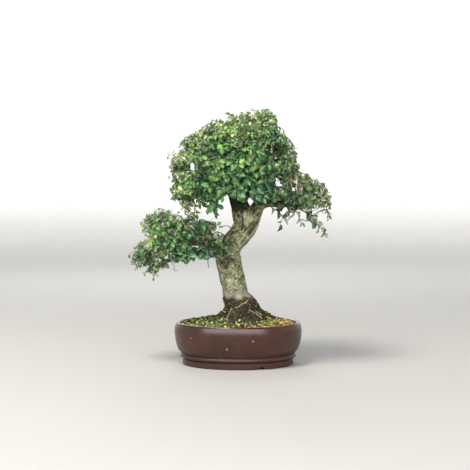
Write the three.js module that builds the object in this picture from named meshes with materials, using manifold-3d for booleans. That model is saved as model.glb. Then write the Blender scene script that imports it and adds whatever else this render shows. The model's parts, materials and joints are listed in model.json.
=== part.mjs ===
// A cork oak bonsai in an oval stoneware pot, in millimetres, +Z up.
// The tree is one living piece: surface roots, a leaning trunk and branches that end in leafy sprays.
// The pot has a notched foot ring, a collar and a mesh at each drainage hole, and grit-topped soil inside.
import * as THREE from 'three';
import { mergeVertices } from 'three/addons/utils/BufferGeometryUtils.js';
import Module from 'manifold-3d';

const wasm = await Module();
wasm.setup();

// Pot
const POT_WIDTH = 280;
const POT_DEPTH = 230;
const POT_HEIGHT = 92;
const POT_WALL = 9;
const RIM_WIDTH = 13;
const FLOOR_UNDERSIDE = 9;
const FLOOR_TOP = 19;
const FLOOR_HALF_WIDTH = 112;
const FOOT_HALF_WIDTH = 121;
const FOOT_RING_WIDTH = 20;
const BAND_HALF_WIDTH = 126.5;
const WALL_START_HALF_WIDTH = 131.5;
const POT_SEGMENTS = 32;
const NOTCH_RADIUS = 9;
const NOTCH_RISE = 0.62;
const NOTCH_SIDES = 10;
const NOTCH_ANGLES = [-66, 114];
const DRAIN_RADIUS = 11;
const DRAIN_OFFSET = 58;
const COLLAR_RADIUS = 20;
const DRAIN_SIDES = 10;

// Mesh over the drainage holes
const MESH_SIDE = 36;
const MESH_THICKNESS = 1;
const MESH_ROWS = 3;
const MESH_PITCH = 9;
const MESH_HOLE = 6.5;

// Soil
const SOIL_EDGE_Z = 87;
const SOIL_DOME = 13;
const SOIL_RINGS = 5;
const GRIT_RELIEF = 1.3;

// Room between pieces that touch, and room kept round the tree
const GAP = 0.3;
const SOIL_TO_ROOTS = 0.4;
const LEAF_TO_BRANCH = 0.6;

// The trunk's middle line from the root plate to the fork: x, y, z and radius
const TRUNK = [
  [14, 0, 66, 44], [13, 0, 94, 52], [12, 0, 112, 46], [4, 0, 129, 36], [-4.5, 0, 146, 28],
  [-8, 0, 166, 26.5], [-12, 0, 185, 27.5], [-17, 1, 205, 27.5], [-22, 2, 226, 27.5], [-23, 2, 246, 26],
  [-11, 1, 266, 24.5], [5, 0, 284, 24.5], [17, 0, 303, 25.5], [20, 0, 322, 27], [20, 0, 337, 25],
];

// Limbs: points with their radii, each starting inside the piece that it grows from
const LIMBS = {
  leader: [
    [12, 0, 320, 24], [4, 4, 346, 20], [-5, 8, 376, 17], [-1, 9, 410, 13.5], [12, 6, 445, 10.5],
    [26, 4, 478, 7.5],
  ],
  right: [[30, 0, 318, 19], [43, -2, 345, 13.5], [54, -4, 374, 11], [68, -2, 404, 9], [80, 2, 434, 7]],
  leftCrown: [[-4, 8, 374, 12], [-30, 4, 396, 10], [-60, 0, 412, 8.5], [-78, 0, 424, 6.5]],
  rightLow: [[42, -3, 342, 11], [62, -6, 352, 9.5], [96, -8, 350, 8], [128, -6, 352, 6.5]],
  front: [[-2, 6, 396, 10], [-4, -22, 412, 8.5], [-2, -48, 420, 6.5]],
  back: [[2, 10, 398, 10], [8, 36, 414, 8.5], [14, 58, 424, 6.5]],
  leftLow: [
    [-18, 0, 250, 17], [-44, -4, 262, 13.5], [-78, -6, 268, 10.5], [-112, -4, 266, 8.5],
    [-142, 0, 262, 6.5],
  ],
};

// A pruned stub under the low left limb
const STUB = [[-26, -8, 238, 11], [-40, -14, 239, 9], [-47, -17, 240, 7]];

// Surface roots: compass angle, reach and radius where each leaves the trunk
const ROOTS = [
  [-8, 82, 13], [38, 70, 9], [88, 66, 8], [142, 72, 9], [188, 76, 10], [236, 62, 8], [292, 60, 8],
];
const ROOT_CENTRE_X = 12;

// Thin roots that lie over the front of the root mound
const FINE_ROOTS = [
  [[24, -26, 141], [12, -41, 124], [0, -50, 116], [-8, -58, 104], [-12, -64, 92]],
  [[22, -42, 119], [36, -50, 110], [46, -57, 99], [52, -62, 88]],
  [[48, -22, 116], [58, -34, 106], [66, -42, 92]],
];
const FINE_ROOT_RADIUS = 2.6;

// Sides and steps of each kind of limb
const FACETS = {
  trunk: [14, 21], stub: [6, 2], limb: [6, 7], root: [5, 4], fineRoot: [4, 5], branch: [4, 3], stem: [5, 1],
};

// Leafy sprays by the limb that carries them: x, y, z and radius of each
const SPRAYS = {
  apex: {
    limb: 'leader',
    at: [
      [-50, 0, 512, 38], [4, 6, 528, 38], [58, 0, 526, 38], [24, 62, 492, 38], [-12, -60, 488, 38],
      [50, -62, 476, 38],
    ],
  },
  right_crown: {
    limb: 'right',
    at: [[90, 0, 480, 38], [116, 6, 430, 36], [80, -64, 416, 38], [86, 64, 440, 38]],
  },
  left_crown: {
    limb: 'leftCrown',
    at: [
      [-92, 0, 486, 38], [-126, 0, 432, 38], [-122, 4, 374, 36], [-62, -62, 448, 38], [-74, -58, 388, 38],
      [-62, 62, 452, 38], [-72, 60, 390, 38],
    ],
  },
  front_crown: {
    limb: 'front',
    at: [[8, -94, 438, 38], [38, -74, 382, 36], [-24, -86, 392, 36]],
  },
  back_crown: {
    limb: 'back',
    at: [[16, 94, 426, 38], [52, 74, 384, 36]],
  },
  right_low: {
    limb: 'rightLow',
    at: [[164, 0, 376, 38], [166, -8, 322, 32], [122, -46, 344, 34], [128, 46, 362, 36]],
  },
  left_low: {
    limb: 'leftLow',
    at: [
      [-206, 0, 246, 34], [-186, 4, 312, 35], [-132, 0, 302, 32], [-160, -42, 264, 34], [-160, 44, 270, 34],
      [-120, -42, 254, 33], [-100, 42, 278, 33], [-168, -4, 212, 30], [-76, 0, 302, 28],
      [-86, -42, 284, 26], [-62, -42, 248, 26],
    ],
  },
};
const FULL_SPRAY_RADIUS = 36;
const LEAVES_PER_SPRAY = 7;
const CORE_SHARE = 0.46;
const CORE_FLATTENING = 0.86;
const CORE_ROUNDING = 1.12;
const STEM_LENGTH = 9;
const STEM_SUNK = 6;
const TIP_RADIUS = 2.8;

// Leaves
const LEAF_LENGTH = 38;
const LEAF_WIDTH = 31;
const LEAF_THICKNESS = 0.8;
const LEAF_ARCH = 0.22;
const LEAF_ROOT = 2.2;
const LEAF_ROOM = 2;

// A leaf's toothed edge: distance from its base and from its rib, as shares of its length and width
const LEAF_EDGE = [[0, 0], [0.3, -0.48], [0.5, -0.42], [0.76, -0.42], [1, 0], [0.8, 0.34], [0.36, 0.5]];
const LEAF_TRIANGLES = [[0, 1, 6], [1, 2, 6], [2, 5, 6], [2, 3, 5], [3, 4, 5]];

// No leaf tip reaches outside this box
const CROWN_REACH = new THREE.Box3(new THREE.Vector3(-242, -140, 150), new THREE.Vector3(208, 140, 558));

// Materials
function material(name, color, roughness) {
  return new THREE.MeshStandardMaterial({ name, color, roughness, metalness: 0 });
}

const STONEWARE = material('stoneware', 0x5a3e2f, 0.5);
const PLASTIC = material('plastic', 0x2b2f2c, 0.6);
const GRIT = material('grit', 0xa6965c, 0.95);
const BARK = material('bark', 0x787c60, 0.9);
const FOLIAGE = material('leaf', 0x4f6f46, 0.45);

// Seeded random numbers from 0 to 1
let seed = 20451;

function random() {
  seed = (seed * 1664525 + 1013904223) % 4294967296;
  return seed / 4294967296;
}

function between(low, high) {
  return low + (high - low) * random();
}

function point([x, y, z]) {
  return new THREE.Vector3(x, y, z);
}

// A solid from its corners and triangles
function solidFromFaces(positions, indices) {
  return new wasm.Manifold(new wasm.Mesh({
    numProp: 3,
    vertProperties: new Float32Array(positions),
    triVerts: new Uint32Array(indices),
  }));
}

// A closed three.js geometry as a solid
function solidFrom(geometry) {
  const loose = geometry.index ? geometry.toNonIndexed() : geometry;
  const bare = new THREE.BufferGeometry();
  bare.setAttribute('position', loose.getAttribute('position'));
  const merged = mergeVertices(bare, 1e-4);
  return solidFromFaces(merged.attributes.position.array, merged.index.array);
}

function solidFromCorners(corners, faces) {
  return solidFromFaces(corners.flatMap((corner) => corner.toArray()), faces.flat());
}

function union(solids) {
  return solids.reduce((joined, solid) => joined.add(solid));
}

// A solid as a named mesh
function meshOf(solid, name, material) {
  const made = solid.getMesh();
  const geometry = new THREE.BufferGeometry();
  geometry.setAttribute('position', new THREE.BufferAttribute(new Float32Array(made.vertProperties), 3));
  geometry.setIndex(new THREE.BufferAttribute(new Uint32Array(made.triVerts), 1));
  geometry.computeVertexNormals();
  const mesh = new THREE.Mesh(geometry, material);
  mesh.name = name;
  return mesh;
}

// A closed skin over rings of corners, which run anticlockwise seen from beyond the last ring
function skin(rings) {
  const sides = rings[0].length;
  const faces = [];
  for (let ring = 0; ring + 1 < rings.length; ring++) {
    for (let side = 0; side < sides; side++) {
      const a = ring * sides + side;
      const b = ring * sides + ((side + 1) % sides);
      faces.push([a, b, b + sides], [a, b + sides, a + sides]);
    }
  }
  const last = (rings.length - 1) * sides;
  for (let side = 1; side + 1 < sides; side++) {
    faces.push([0, side + 1, side], [last, last + side, last + side + 1]);
  }
  return solidFromCorners(rings.flat(), faces);
}

// A round limb through stations of x, y, z and radius, which relief(angle, along) scales and grow widens
function limbSolid(stations, sides, steps, grow = 0, relief = () => 1) {
  const curve = new THREE.CatmullRomCurve3(stations.map(point), false, 'centripetal');
  const frames = curve.computeFrenetFrames(steps);
  const spans = stations.length - 1;
  const rings = [];
  for (let i = 0; i <= steps; i++) {
    const place = curve.getUtoTmapping(i / steps) * spans;
    const span = Math.min(spans - 1, Math.floor(place));
    const radius = THREE.MathUtils.lerp(stations[span][3], stations[span + 1][3], place - span);
    const centre = curve.getPointAt(i / steps);
    if (i === 0) centre.addScaledVector(frames.tangents[i], -grow);
    if (i === steps) centre.addScaledVector(frames.tangents[i], grow);
    rings.push(Array.from({ length: sides }, (_, side) => {
      const angle = (2 * Math.PI * side) / sides;
      const reach = radius * relief(angle, i / steps) + grow;
      return centre.clone()
        .addScaledVector(frames.normals[i], reach * Math.cos(angle))
        .addScaledVector(frames.binormals[i], reach * Math.sin(angle));
    }));
  }
  return skin(rings);
}

// Pot: half width and height along its outside, from the foot to the rim
const WIDEST = POT_WIDTH / 2;
const OVAL = POT_DEPTH / POT_WIDTH;
const POT_OUTSIDE = [
  [FOOT_HALF_WIDTH, 0], [FOOT_HALF_WIDTH, 14], [BAND_HALF_WIDTH, 17], [BAND_HALF_WIDTH, 23],
  [BAND_HALF_WIDTH - 2, 25.5], [WALL_START_HALF_WIDTH, 34], [WIDEST - 2.5, 52], [WIDEST, 76],
  [WIDEST - 2, POT_HEIGHT - 4], [WIDEST - 7, POT_HEIGHT],
];

// The same down its inside, from the rim to the floor
const POT_INSIDE = [
  [WIDEST - RIM_WIDTH, POT_HEIGHT - 2], [WIDEST - POT_WALL - 1, 76], [WALL_START_HALF_WIDTH - POT_WALL, 34],
  [FLOOR_HALF_WIDTH, FLOOR_TOP],
];

// A turned profile pressed to an oval, with notches in the foot ring and room for the drainage collars
function potSolid() {
  const footInside = FOOT_HALF_WIDTH - FOOT_RING_WIDTH;
  const profile = [
    [0, FLOOR_UNDERSIDE], [footInside, FLOOR_UNDERSIDE], [footInside, 0], ...POT_OUTSIDE, ...POT_INSIDE,
    [0, FLOOR_TOP],
  ];
  const turned = new THREE.LatheGeometry(profile.map(([r, z]) => new THREE.Vector2(r, z)), POT_SEGMENTS);
  turned.rotateX(Math.PI / 2);
  turned.scale(1, OVAL, 1);
  let pot = solidFrom(turned);
  for (const degrees of NOTCH_ANGLES) {
    const notch = new THREE.CylinderGeometry(NOTCH_RADIUS, NOTCH_RADIUS, 3 * FOOT_RING_WIDTH, NOTCH_SIDES);
    notch.scale(1, 1, NOTCH_RISE);
    notch.rotateZ(-Math.PI / 2);
    notch.translate(FOOT_HALF_WIDTH, 0, 0);
    notch.rotateZ(THREE.MathUtils.degToRad(degrees));
    notch.scale(1, OVAL, 1);
    pot = pot.subtract(solidFrom(notch));
  }
  for (const x of [-DRAIN_OFFSET, DRAIN_OFFSET]) {
    pot = pot.subtract(floorPlug(x, COLLAR_RADIUS + GAP, 2 * FLOOR_TOP));
  }
  return pot;
}

function floorPlug(x, radius, height) {
  const plug = new THREE.CylinderGeometry(radius, radius, height, DRAIN_SIDES);
  plug.rotateX(Math.PI / 2);
  plug.translate(x, 0, (FLOOR_UNDERSIDE + FLOOR_TOP) / 2);
  return solidFrom(plug);
}

// The floor's clay round a drainage hole, a node of its own so that its collision leaves the hole open
function drainCollarSolid(x) {
  const collar = floorPlug(x, COLLAR_RADIUS, FLOOR_TOP - FLOOR_UNDERSIDE);
  return collar.subtract(floorPlug(x, DRAIN_RADIUS, 2 * FLOOR_TOP));
}

// Plastic mesh: a square sheet with rows of square holes
function drainMeshSolid(x) {
  const middle = FLOOR_TOP + GAP + MESH_THICKNESS / 2;
  const box = (side, cx, cy, thickness) => {
    const geometry = new THREE.BoxGeometry(side, side, thickness);
    geometry.translate(cx, cy, middle);
    return solidFrom(geometry);
  };
  const offset = (row) => (row - (MESH_ROWS - 1) / 2) * MESH_PITCH;
  let sheet = box(MESH_SIDE, x, 0, MESH_THICKNESS);
  for (let i = 0; i < MESH_ROWS; i++) {
    for (let j = 0; j < MESH_ROWS; j++) {
      sheet = sheet.subtract(box(MESH_HOLE, x + offset(i), offset(j), 3 * MESH_THICKNESS));
    }
  }
  return sheet;
}

// Soil: the height of its domed top, raised here and there as coarse grit
function soilTop(share, angle) {
  const grit = Math.sin(share * 41 + angle * 7) * Math.cos(share * 17 - angle * 13);
  return SOIL_EDGE_Z + SOIL_DOME * (1 - share * share) + GRIT_RELIEF * grit;
}

function soilSolid() {
  const inset = 2 * GAP;
  const edge = WIDEST - RIM_WIDTH - inset;
  const ring = (halfWidth, heightAt) => Array.from({ length: POT_SEGMENTS }, (_, side) => {
    const angle = (2 * Math.PI * side) / POT_SEGMENTS;
    return point([halfWidth * Math.cos(angle), halfWidth * OVAL * Math.sin(angle), heightAt(angle)]);
  });
  const rings = [
    ring(FLOOR_HALF_WIDTH - inset, () => FLOOR_TOP + MESH_THICKNESS + 2 * GAP),
    ring(WALL_START_HALF_WIDTH - POT_WALL - inset, () => 34),
    ring(WIDEST - POT_WALL - 1 - inset, () => 76),
    ring(edge, () => SOIL_EDGE_Z - 2),
  ];
  for (let i = SOIL_RINGS - 1; i > 0; i--) {
    const share = i / SOIL_RINGS;
    rings.push(ring(edge * share, (angle) => soilTop(share, angle)));
  }
  return skin(rings);
}

// The bark's long corky ridges, as a share of the trunk's radius
function corkRidges(angle, along) {
  const coarse = Math.sin(5 * angle + 9 * along) * Math.sin(3 * angle - 14 * along + 1);
  const fine = Math.sin(9 * angle + 31 * along);
  return 1 + 0.045 * coarse + 0.03 * fine;
}

// A surface root's stations: out of the flare, over the mound and down into the soil
function rootStations([degrees, reach, radius]) {
  const angle = THREE.MathUtils.degToRad(degrees);
  const at = (out, z, r) => [ROOT_CENTRE_X + out * Math.cos(angle), out * Math.sin(angle), z, r];
  return [
    at(18, 128, radius), at(40, 111, radius), at(0.72 * reach, 100, 0.72 * radius),
    at(reach, 87, 0.45 * radius),
  ];
}

// Where a spray's branch leaves its limb: nearest to the spray, drawn back towards the trunk
function branchRoot(limb, centre) {
  const curve = new THREE.CatmullRomCurve3(LIMBS[limb].map(point), false, 'centripetal');
  const places = Array.from({ length: 41 }, (_, i) => i / 40);
  const distance = (u) => curve.getPointAt(u).distanceTo(centre);
  const nearest = places.reduce((best, u) => (distance(u) < distance(best) ? u : best));
  const back = Math.min(0.4, (0.35 * distance(nearest)) / curve.getLength());
  return curve.getPointAt(Math.max(0.12, nearest - back));
}

// Each spray's middle, radius and core, and the line on which its stem meets its branch
function planSprays() {
  const sprays = [];
  for (const [group, { limb, at }] of Object.entries(SPRAYS)) {
    at.forEach(([x, y, z, radius], i) => {
      const centre = point([x, y, z]);
      const root = branchRoot(limb, centre);
      const core = point([radius, radius, CORE_FLATTENING * radius]).multiplyScalar(CORE_SHARE);
      const inward = root.clone().sub(centre).normalize();
      if (inward.z < 0.3) inward.z = Math.min(inward.z, 0) - 0.35;
      inward.normalize();
      const coreReach = 1 / inward.clone().divide(core).length();
      const meet = centre.clone().addScaledVector(inward, coreReach + STEM_LENGTH);
      const turn = between(0, 2 * Math.PI);
      sprays.push({ name: `spray_${group}_${i + 1}`, centre, radius, root, core, inward, meet, turn });
    });
  }
  return sprays;
}

function branchStations({ root, meet, inward }) {
  const length = root.distanceTo(meet);
  const thick = Math.min(6, 3.6 + 0.02 * length);
  const beforeTip = meet.clone().addScaledVector(inward, 0.22 * length);
  const middle = root.clone().lerp(beforeTip, 0.55);
  middle.z += 0.04 * length;
  return [
    [...root, thick], [...middle, 0.8 * thick], [...beforeTip, 0.6 * thick], [...meet, TIP_RADIUS],
  ];
}

// Trunk, limbs, roots and the branches to the sprays in one piece, which grow widens all over
function treeSolid(sprays, grow) {
  return union([
    limbSolid(TRUNK, ...FACETS.trunk, grow, corkRidges),
    limbSolid(STUB, ...FACETS.stub, grow),
    ...Object.values(LIMBS).map((stations) => limbSolid(stations, ...FACETS.limb, grow)),
    ...ROOTS.map((root) => limbSolid(rootStations(root), ...FACETS.root, grow)),
    ...FINE_ROOTS.map((path) => (
      limbSolid(path.map((p) => [...p, FINE_ROOT_RADIUS]), ...FACETS.fineRoot, grow)
    )),
    ...sprays.map((spray) => limbSolid(branchStations(spray), ...FACETS.branch, grow)),
  ]);
}

// One leaf blade: a toothed outline that arches down towards its tip, the same triangles on both faces
function leafSolid({ base, along, across, normal, size }, thickness) {
  const count = LEAF_EDGE.length;
  const face = (offset) => LEAF_EDGE.map(([u, v]) => base.clone()
    .addScaledVector(along, u * LEAF_LENGTH * size)
    .addScaledVector(across, v * LEAF_WIDTH * size)
    .addScaledVector(normal, offset - LEAF_ARCH * u * u * LEAF_LENGTH * size));
  const faces = [];
  for (const [a, b, c] of LEAF_TRIANGLES) {
    faces.push([a, b, c], [c + count, b + count, a + count]);
  }
  for (let a = 0; a < count; a++) {
    const b = (a + 1) % count;
    faces.push([b, a, a + count], [b, a + count, b + count]);
  }
  return solidFromCorners([...face(thickness / 2), ...face(-thickness / 2)], faces);
}

// The core is a rough ball of 20 flat faces, each spray's turned its own way
function coreGeometry({ core, centre, turn }, grow) {
  const geometry = new THREE.IcosahedronGeometry(CORE_ROUNDING, 0);
  geometry.rotateZ(turn);
  geometry.rotateX(0.7 * turn);
  geometry.scale(core.x + grow, core.y + grow, core.z + grow);
  geometry.translate(centre.x, centre.y, centre.z);
  return geometry;
}

function coreSolid(spray, grow = 0) {
  return solidFrom(coreGeometry(spray, grow));
}

function stemSolid({ meet, inward }, grow = 0) {
  const from = meet.clone().addScaledVector(inward, -GAP);
  const to = meet.clone().addScaledVector(inward, -STEM_LENGTH - STEM_SUNK);
  return limbSolid([[...from, TIP_RADIUS], [...to, TIP_RADIUS]], ...FACETS.stem, grow);
}

// The middles of the core's faces, those that look outward from the tree first
function leafSeats(spray) {
  const { x, y, z } = spray.centre;
  const away = point([x < -40 && z < 330 ? x + 110 : x, y, 0.5 * (z - 380) + 40]).normalize();
  const position = coreGeometry(spray, 0).getAttribute('position');
  const seats = [];
  for (let i = 0; i < position.count; i += 3) {
    const seat = new THREE.Vector3();
    for (const corner of [i, i + 1, i + 2]) {
      seat.addScaledVector(new THREE.Vector3().fromBufferAttribute(position, corner), 1 / 3);
    }
    const out = seat.clone().sub(spray.centre).normalize();
    const overStem = Math.max(0, out.dot(spray.inward) - 0.6);
    seats.push({ seat, out, rank: out.dot(away) + between(-0.45, 0.45) - 2 * overStem });
  }
  return seats.sort((a, b) => b.rank - a.rank);
}

// A leaf stands out of the core and leans down over the next
function leafAt({ seat, out }, spray) {
  const turn = between(0, 2 * Math.PI);
  const lean = THREE.MathUtils.degToRad(between(5, 52));
  const down = point([0, 0, -1]).addScaledVector(out, out.z);
  if (down.length() < 0.3) down.set(Math.cos(turn), Math.sin(turn), 0);
  const along = out.clone().multiplyScalar(Math.cos(lean));
  along.addScaledVector(down.normalize(), Math.sin(lean)).normalize();
  const normal = out.clone().addScaledVector(along, -out.dot(along));
  normal.normalize().applyAxisAngle(along, between(-0.5, 0.5));
  const across = new THREE.Vector3().crossVectors(normal, along);
  const base = seat.clone().addScaledVector(out, -LEAF_ROOT);
  const size = between(0.86, 1.08) * Math.min(1, spray.radius / FULL_SPRAY_RADIUS);
  return { base, along, across, normal, size };
}

function leafTip({ base, along, size }) {
  return base.clone().addScaledVector(along, LEAF_LENGTH * size);
}

function obstacleOf(solid) {
  const { min, max } = solid.boundingBox();
  return { solid, box: new THREE.Box3(point(min), point(max)) };
}

function isClear(obstacle, others) {
  return others.every((other) => (
    !obstacle.box.intersectsBox(other.box) || obstacle.solid.intersect(other.solid).volume() < 1e-3
  ));
}

// Each spray is a stem, its core and leaves, placed where they clear the branches and all earlier leaves
function growSprays(sprays, widenedTree) {
  const cores = sprays.map((spray) => (
    obstacleOf(coreSolid(spray, LEAF_TO_BRANCH).add(stemSolid(spray, LEAF_TO_BRANCH)))
  ));
  const placed = [obstacleOf(widenedTree)];
  return sprays.map((spray, own) => {
    const otherCores = cores.filter((_, i) => i !== own);
    const ownCore = coreSolid(spray, 1);
    const most = Math.round((LEAVES_PER_SPRAY * spray.radius) / FULL_SPRAY_RADIUS);
    const blades = [];
    for (const seat of leafSeats(spray)) {
      for (let tries = 0; tries < 4 && blades.length < most; tries++) {
        const leaf = leafAt(seat, spray);
        const freePart = obstacleOf(leafSolid(leaf, LEAF_ROOM).subtract(ownCore));
        if (CROWN_REACH.containsPoint(leafTip(leaf)) && isClear(freePart, [...placed, ...otherCores])) {
          blades.push(leafSolid(leaf, LEAF_THICKNESS));
          placed.push(freePart);
          break;
        }
      }
    }
    return meshOf(union([coreSolid(spray), stemSolid(spray), ...blades]), spray.name, FOLIAGE);
  });
}

const sprays = planSprays();

// The roots may wall in a crumb of soil: only the body that fills the pot is kept
const soilBodies = soilSolid().subtract(treeSolid(sprays, SOIL_TO_ROOTS)).decompose();
const soil = soilBodies.reduce((largest, body) => (body.volume() > largest.volume() ? body : largest));

const bonsai = new THREE.Group();
bonsai.add(meshOf(potSolid(), 'pot', STONEWARE));
bonsai.add(meshOf(drainCollarSolid(-DRAIN_OFFSET), 'drain_collar_left', STONEWARE));
bonsai.add(meshOf(drainCollarSolid(DRAIN_OFFSET), 'drain_collar_right', STONEWARE));
bonsai.add(meshOf(drainMeshSolid(-DRAIN_OFFSET), 'drain_mesh_left', PLASTIC));
bonsai.add(meshOf(drainMeshSolid(DRAIN_OFFSET), 'drain_mesh_right', PLASTIC));
bonsai.add(meshOf(soil, 'soil', GRIT));
bonsai.add(meshOf(treeSolid(sprays, 0), 'tree', BARK));
bonsai.add(...growSprays(sprays, treeSolid(sprays, LEAF_TO_BRANCH)));

// The origin is under the middle of the whole object, on the surface that the foot ring stands on
const bounds = new THREE.Box3().setFromObject(bonsai);
const { x, y } = bounds.getCenter(new THREE.Vector3());
bonsai.position.set(-x, -y, -bounds.min.z);

export default bonsai;
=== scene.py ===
import json
import math
import random
import bpy
import bmesh
import numpy as np
from mathutils import Matrix, Vector, kdtree, noise
from mathutils.bvhtree import BVHTree

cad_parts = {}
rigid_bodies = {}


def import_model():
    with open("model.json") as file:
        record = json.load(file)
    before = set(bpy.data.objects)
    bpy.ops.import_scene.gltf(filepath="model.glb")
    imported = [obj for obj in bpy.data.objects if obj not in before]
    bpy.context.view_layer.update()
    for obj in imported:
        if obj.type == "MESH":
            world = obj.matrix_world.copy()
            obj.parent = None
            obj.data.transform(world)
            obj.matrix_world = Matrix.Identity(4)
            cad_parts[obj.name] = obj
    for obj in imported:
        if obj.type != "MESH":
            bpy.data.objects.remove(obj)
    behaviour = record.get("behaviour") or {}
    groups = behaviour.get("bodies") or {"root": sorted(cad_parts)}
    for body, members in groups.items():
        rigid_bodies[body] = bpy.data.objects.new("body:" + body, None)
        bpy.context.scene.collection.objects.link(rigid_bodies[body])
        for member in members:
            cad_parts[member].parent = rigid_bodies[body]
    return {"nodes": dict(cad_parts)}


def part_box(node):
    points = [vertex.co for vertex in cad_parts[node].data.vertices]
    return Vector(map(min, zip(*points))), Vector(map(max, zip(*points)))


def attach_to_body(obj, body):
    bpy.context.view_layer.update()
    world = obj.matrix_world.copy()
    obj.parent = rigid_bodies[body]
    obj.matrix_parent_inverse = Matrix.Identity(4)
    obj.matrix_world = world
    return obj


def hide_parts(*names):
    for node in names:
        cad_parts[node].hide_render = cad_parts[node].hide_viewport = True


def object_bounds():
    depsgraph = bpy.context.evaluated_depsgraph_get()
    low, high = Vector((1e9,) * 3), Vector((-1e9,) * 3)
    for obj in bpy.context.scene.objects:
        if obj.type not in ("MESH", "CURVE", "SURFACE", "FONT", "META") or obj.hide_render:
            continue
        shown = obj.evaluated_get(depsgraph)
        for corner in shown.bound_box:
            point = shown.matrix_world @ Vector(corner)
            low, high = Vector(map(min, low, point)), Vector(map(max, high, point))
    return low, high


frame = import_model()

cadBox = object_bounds()
scene = bpy.context.scene
mm = 0.001
up = np.array([0.0, 0.0, 1.0])
full = 2 * math.pi
goldenAngle = 2.39996   # between neighbours on an even spiral
noise.seed_set(4)   # or else noise_vector starts from the clock

# shapes are drawn in millimetres from the middle of the pot's foot, as in the CAD
potLow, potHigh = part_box("pot")
potMiddle = np.array([(potLow[0] + potHigh[0]) / 2, (potLow[1] + potHigh[1]) / 2, 0.0])


def toFrame(points):
    return np.asarray(points, float) * mm + potMiddle


def unit(vector):
    return vector / max(1e-9, float(np.linalg.norm(vector)))


def linear(hexColour):  # sRGB hex to the linear RGBA that shaders use
    parts = [int(hexColour[i:i + 2], 16) / 255 for i in (1, 3, 5)]
    return tuple(c / 12.92 if c <= 0.04045 else ((c + 0.055) / 1.055) ** 2.4 for c in parts) + (1.0,)


def perMetre(size):  # pattern scale for a feature of this many millimetres
    return 1000 / size


def feed(node, inputs):  # an input gets a value, a socket's link, or a link to a node's first output in use
    for key, value in inputs.items():
        if isinstance(value, bpy.types.Node):
            value = next(socket for socket in value.outputs if socket.enabled)
        if isinstance(value, bpy.types.NodeSocket):
            node.id_data.links.new(value, node.inputs[key])
        else:
            node.inputs[key].default_value = value


def addNode(tree, kind, settings=None, inputs=None):
    node = tree.nodes.new(kind)
    for name, value in (settings or {}).items():
        if name == "stops":  # colours along a ramp
            ramp = node.color_ramp
            while len(ramp.elements) < len(value):
                ramp.elements.new(1.0)
            for stop, (position, colour) in zip(ramp.elements, value):
                stop.position = position
                stop.color = linear(colour)
        else:
            setattr(node, name, value)
    feed(node, inputs or {})
    return node


def newFinish(name, **shader):  # a material, its node tree, its shader and the place on the piece
    finish = bpy.data.materials.new(name)
    finish.use_nodes = True
    tree = finish.node_tree
    surface = tree.nodes["Principled BSDF"]
    feed(surface, {socket.replace("_", " "): value for socket, value in shader.items()})
    return finish, tree, surface, addNode(tree, "ShaderNodeTexCoord").outputs["Object"]


def newPiece(name, points, faces, finishes, edges=(), smooth=True):
    mesh = bpy.data.meshes.new(name)
    mesh.from_pydata(toFrame(points).tolist(), list(edges), [list(face) for face in faces])
    for finish in finishes:
        mesh.materials.append(finish)
    if smooth:
        mesh.shade_smooth()
    piece = bpy.data.objects.new(name, mesh)
    scene.collection.objects.link(piece)
    return piece


def settle(piece):  # modifiers become plain mesh
    depsgraph = bpy.context.evaluated_depsgraph_get()
    made = bpy.data.meshes.new_from_object(
        piece.evaluated_get(depsgraph), preserve_all_data_layers=True, depsgraph=depsgraph)
    piece.modifiers.clear()
    old, piece.data = piece.data, made
    bpy.data.meshes.remove(old)
    return piece


def setInputs(modifier, values):  # by the sockets' identifiers
    for item in modifier.node_group.interface.items_tree:
        if item.item_type == "SOCKET" and item.in_out == "INPUT" and item.name in values:
            modifier[item.identifier] = values[item.name]


def vertexValues(piece, name):  # each vertex's place in millimetres, or its normal
    flat = np.empty(len(piece.data.vertices) * 3)
    piece.data.vertices.foreach_get(name, flat)
    values = flat.reshape(-1, 3)
    return (values - potMiddle) / mm if name == "co" else values


def bandFaces(rings, sides, first=0):  # quads between rings of points that follow each other
    faces = []
    for start in range(first, first + (rings - 1) * sides, sides):
        for k in range(sides):
            a, b = start + k, start + (k + 1) % sides
            faces.append((a, b, b + sides, a + sides))
    return faces


def addValues(mesh, name, values, kind="FLOAT", domain="POINT"):
    layer = mesh.attributes.new(name, kind, domain)
    numbers = np.asarray(values, int if kind == "INT" else float).ravel()
    layer.data.foreach_set("vector" if kind == "FLOAT_VECTOR" else "value", numbers)


def attach(piece, slot, *replaced):
    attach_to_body(piece, "root")
    if replaced:
        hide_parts(*replaced)


# camera: eye level a little above the crown's middle, long lens
view = {"eye": (-6.86, -2600, 402.8), "aim": (-6.86, 0, 282.2), "lens": 36 * 1190 / 470,
        "sensor": 36, "clip": (0.05, 60)}
eyeX, eyeY, eyeZ = view["eye"]

cameraData = bpy.data.cameras.new("photoView")
cameraData.lens = view["lens"]
cameraData.sensor_width = view["sensor"]
cameraData.clip_start, cameraData.clip_end = view["clip"]
photoCamera = bpy.data.objects.new("photoView", cameraData)
scene.collection.objects.link(photoCamera)
eye = Vector(toFrame(view["eye"]))
aim = Vector(toFrame(view["aim"]))
photoCamera.location = eye
photoCamera.rotation_euler = (aim - eye).to_track_quat("-Z", "Y").to_euler()
scene.camera = photoCamera
scene.view_settings.view_transform = "Standard"  # keeps the finishes' own colours


def seenAt(x, y, z):  # where the camera sees a point, on the upright plane through the pot's middle
    share = eyeY / (eyeY - y)
    return eyeX + (x - eyeX) * share, eyeZ + (z - eyeZ) * share


def inView(x, z, y):  # the point at depth y that the camera sees at x and z of that plane
    share = (eyeY - y) / eyeY
    return np.array([eyeX + (x - eyeX) * share, y, eyeZ + (z - eyeZ) * share])


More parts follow.
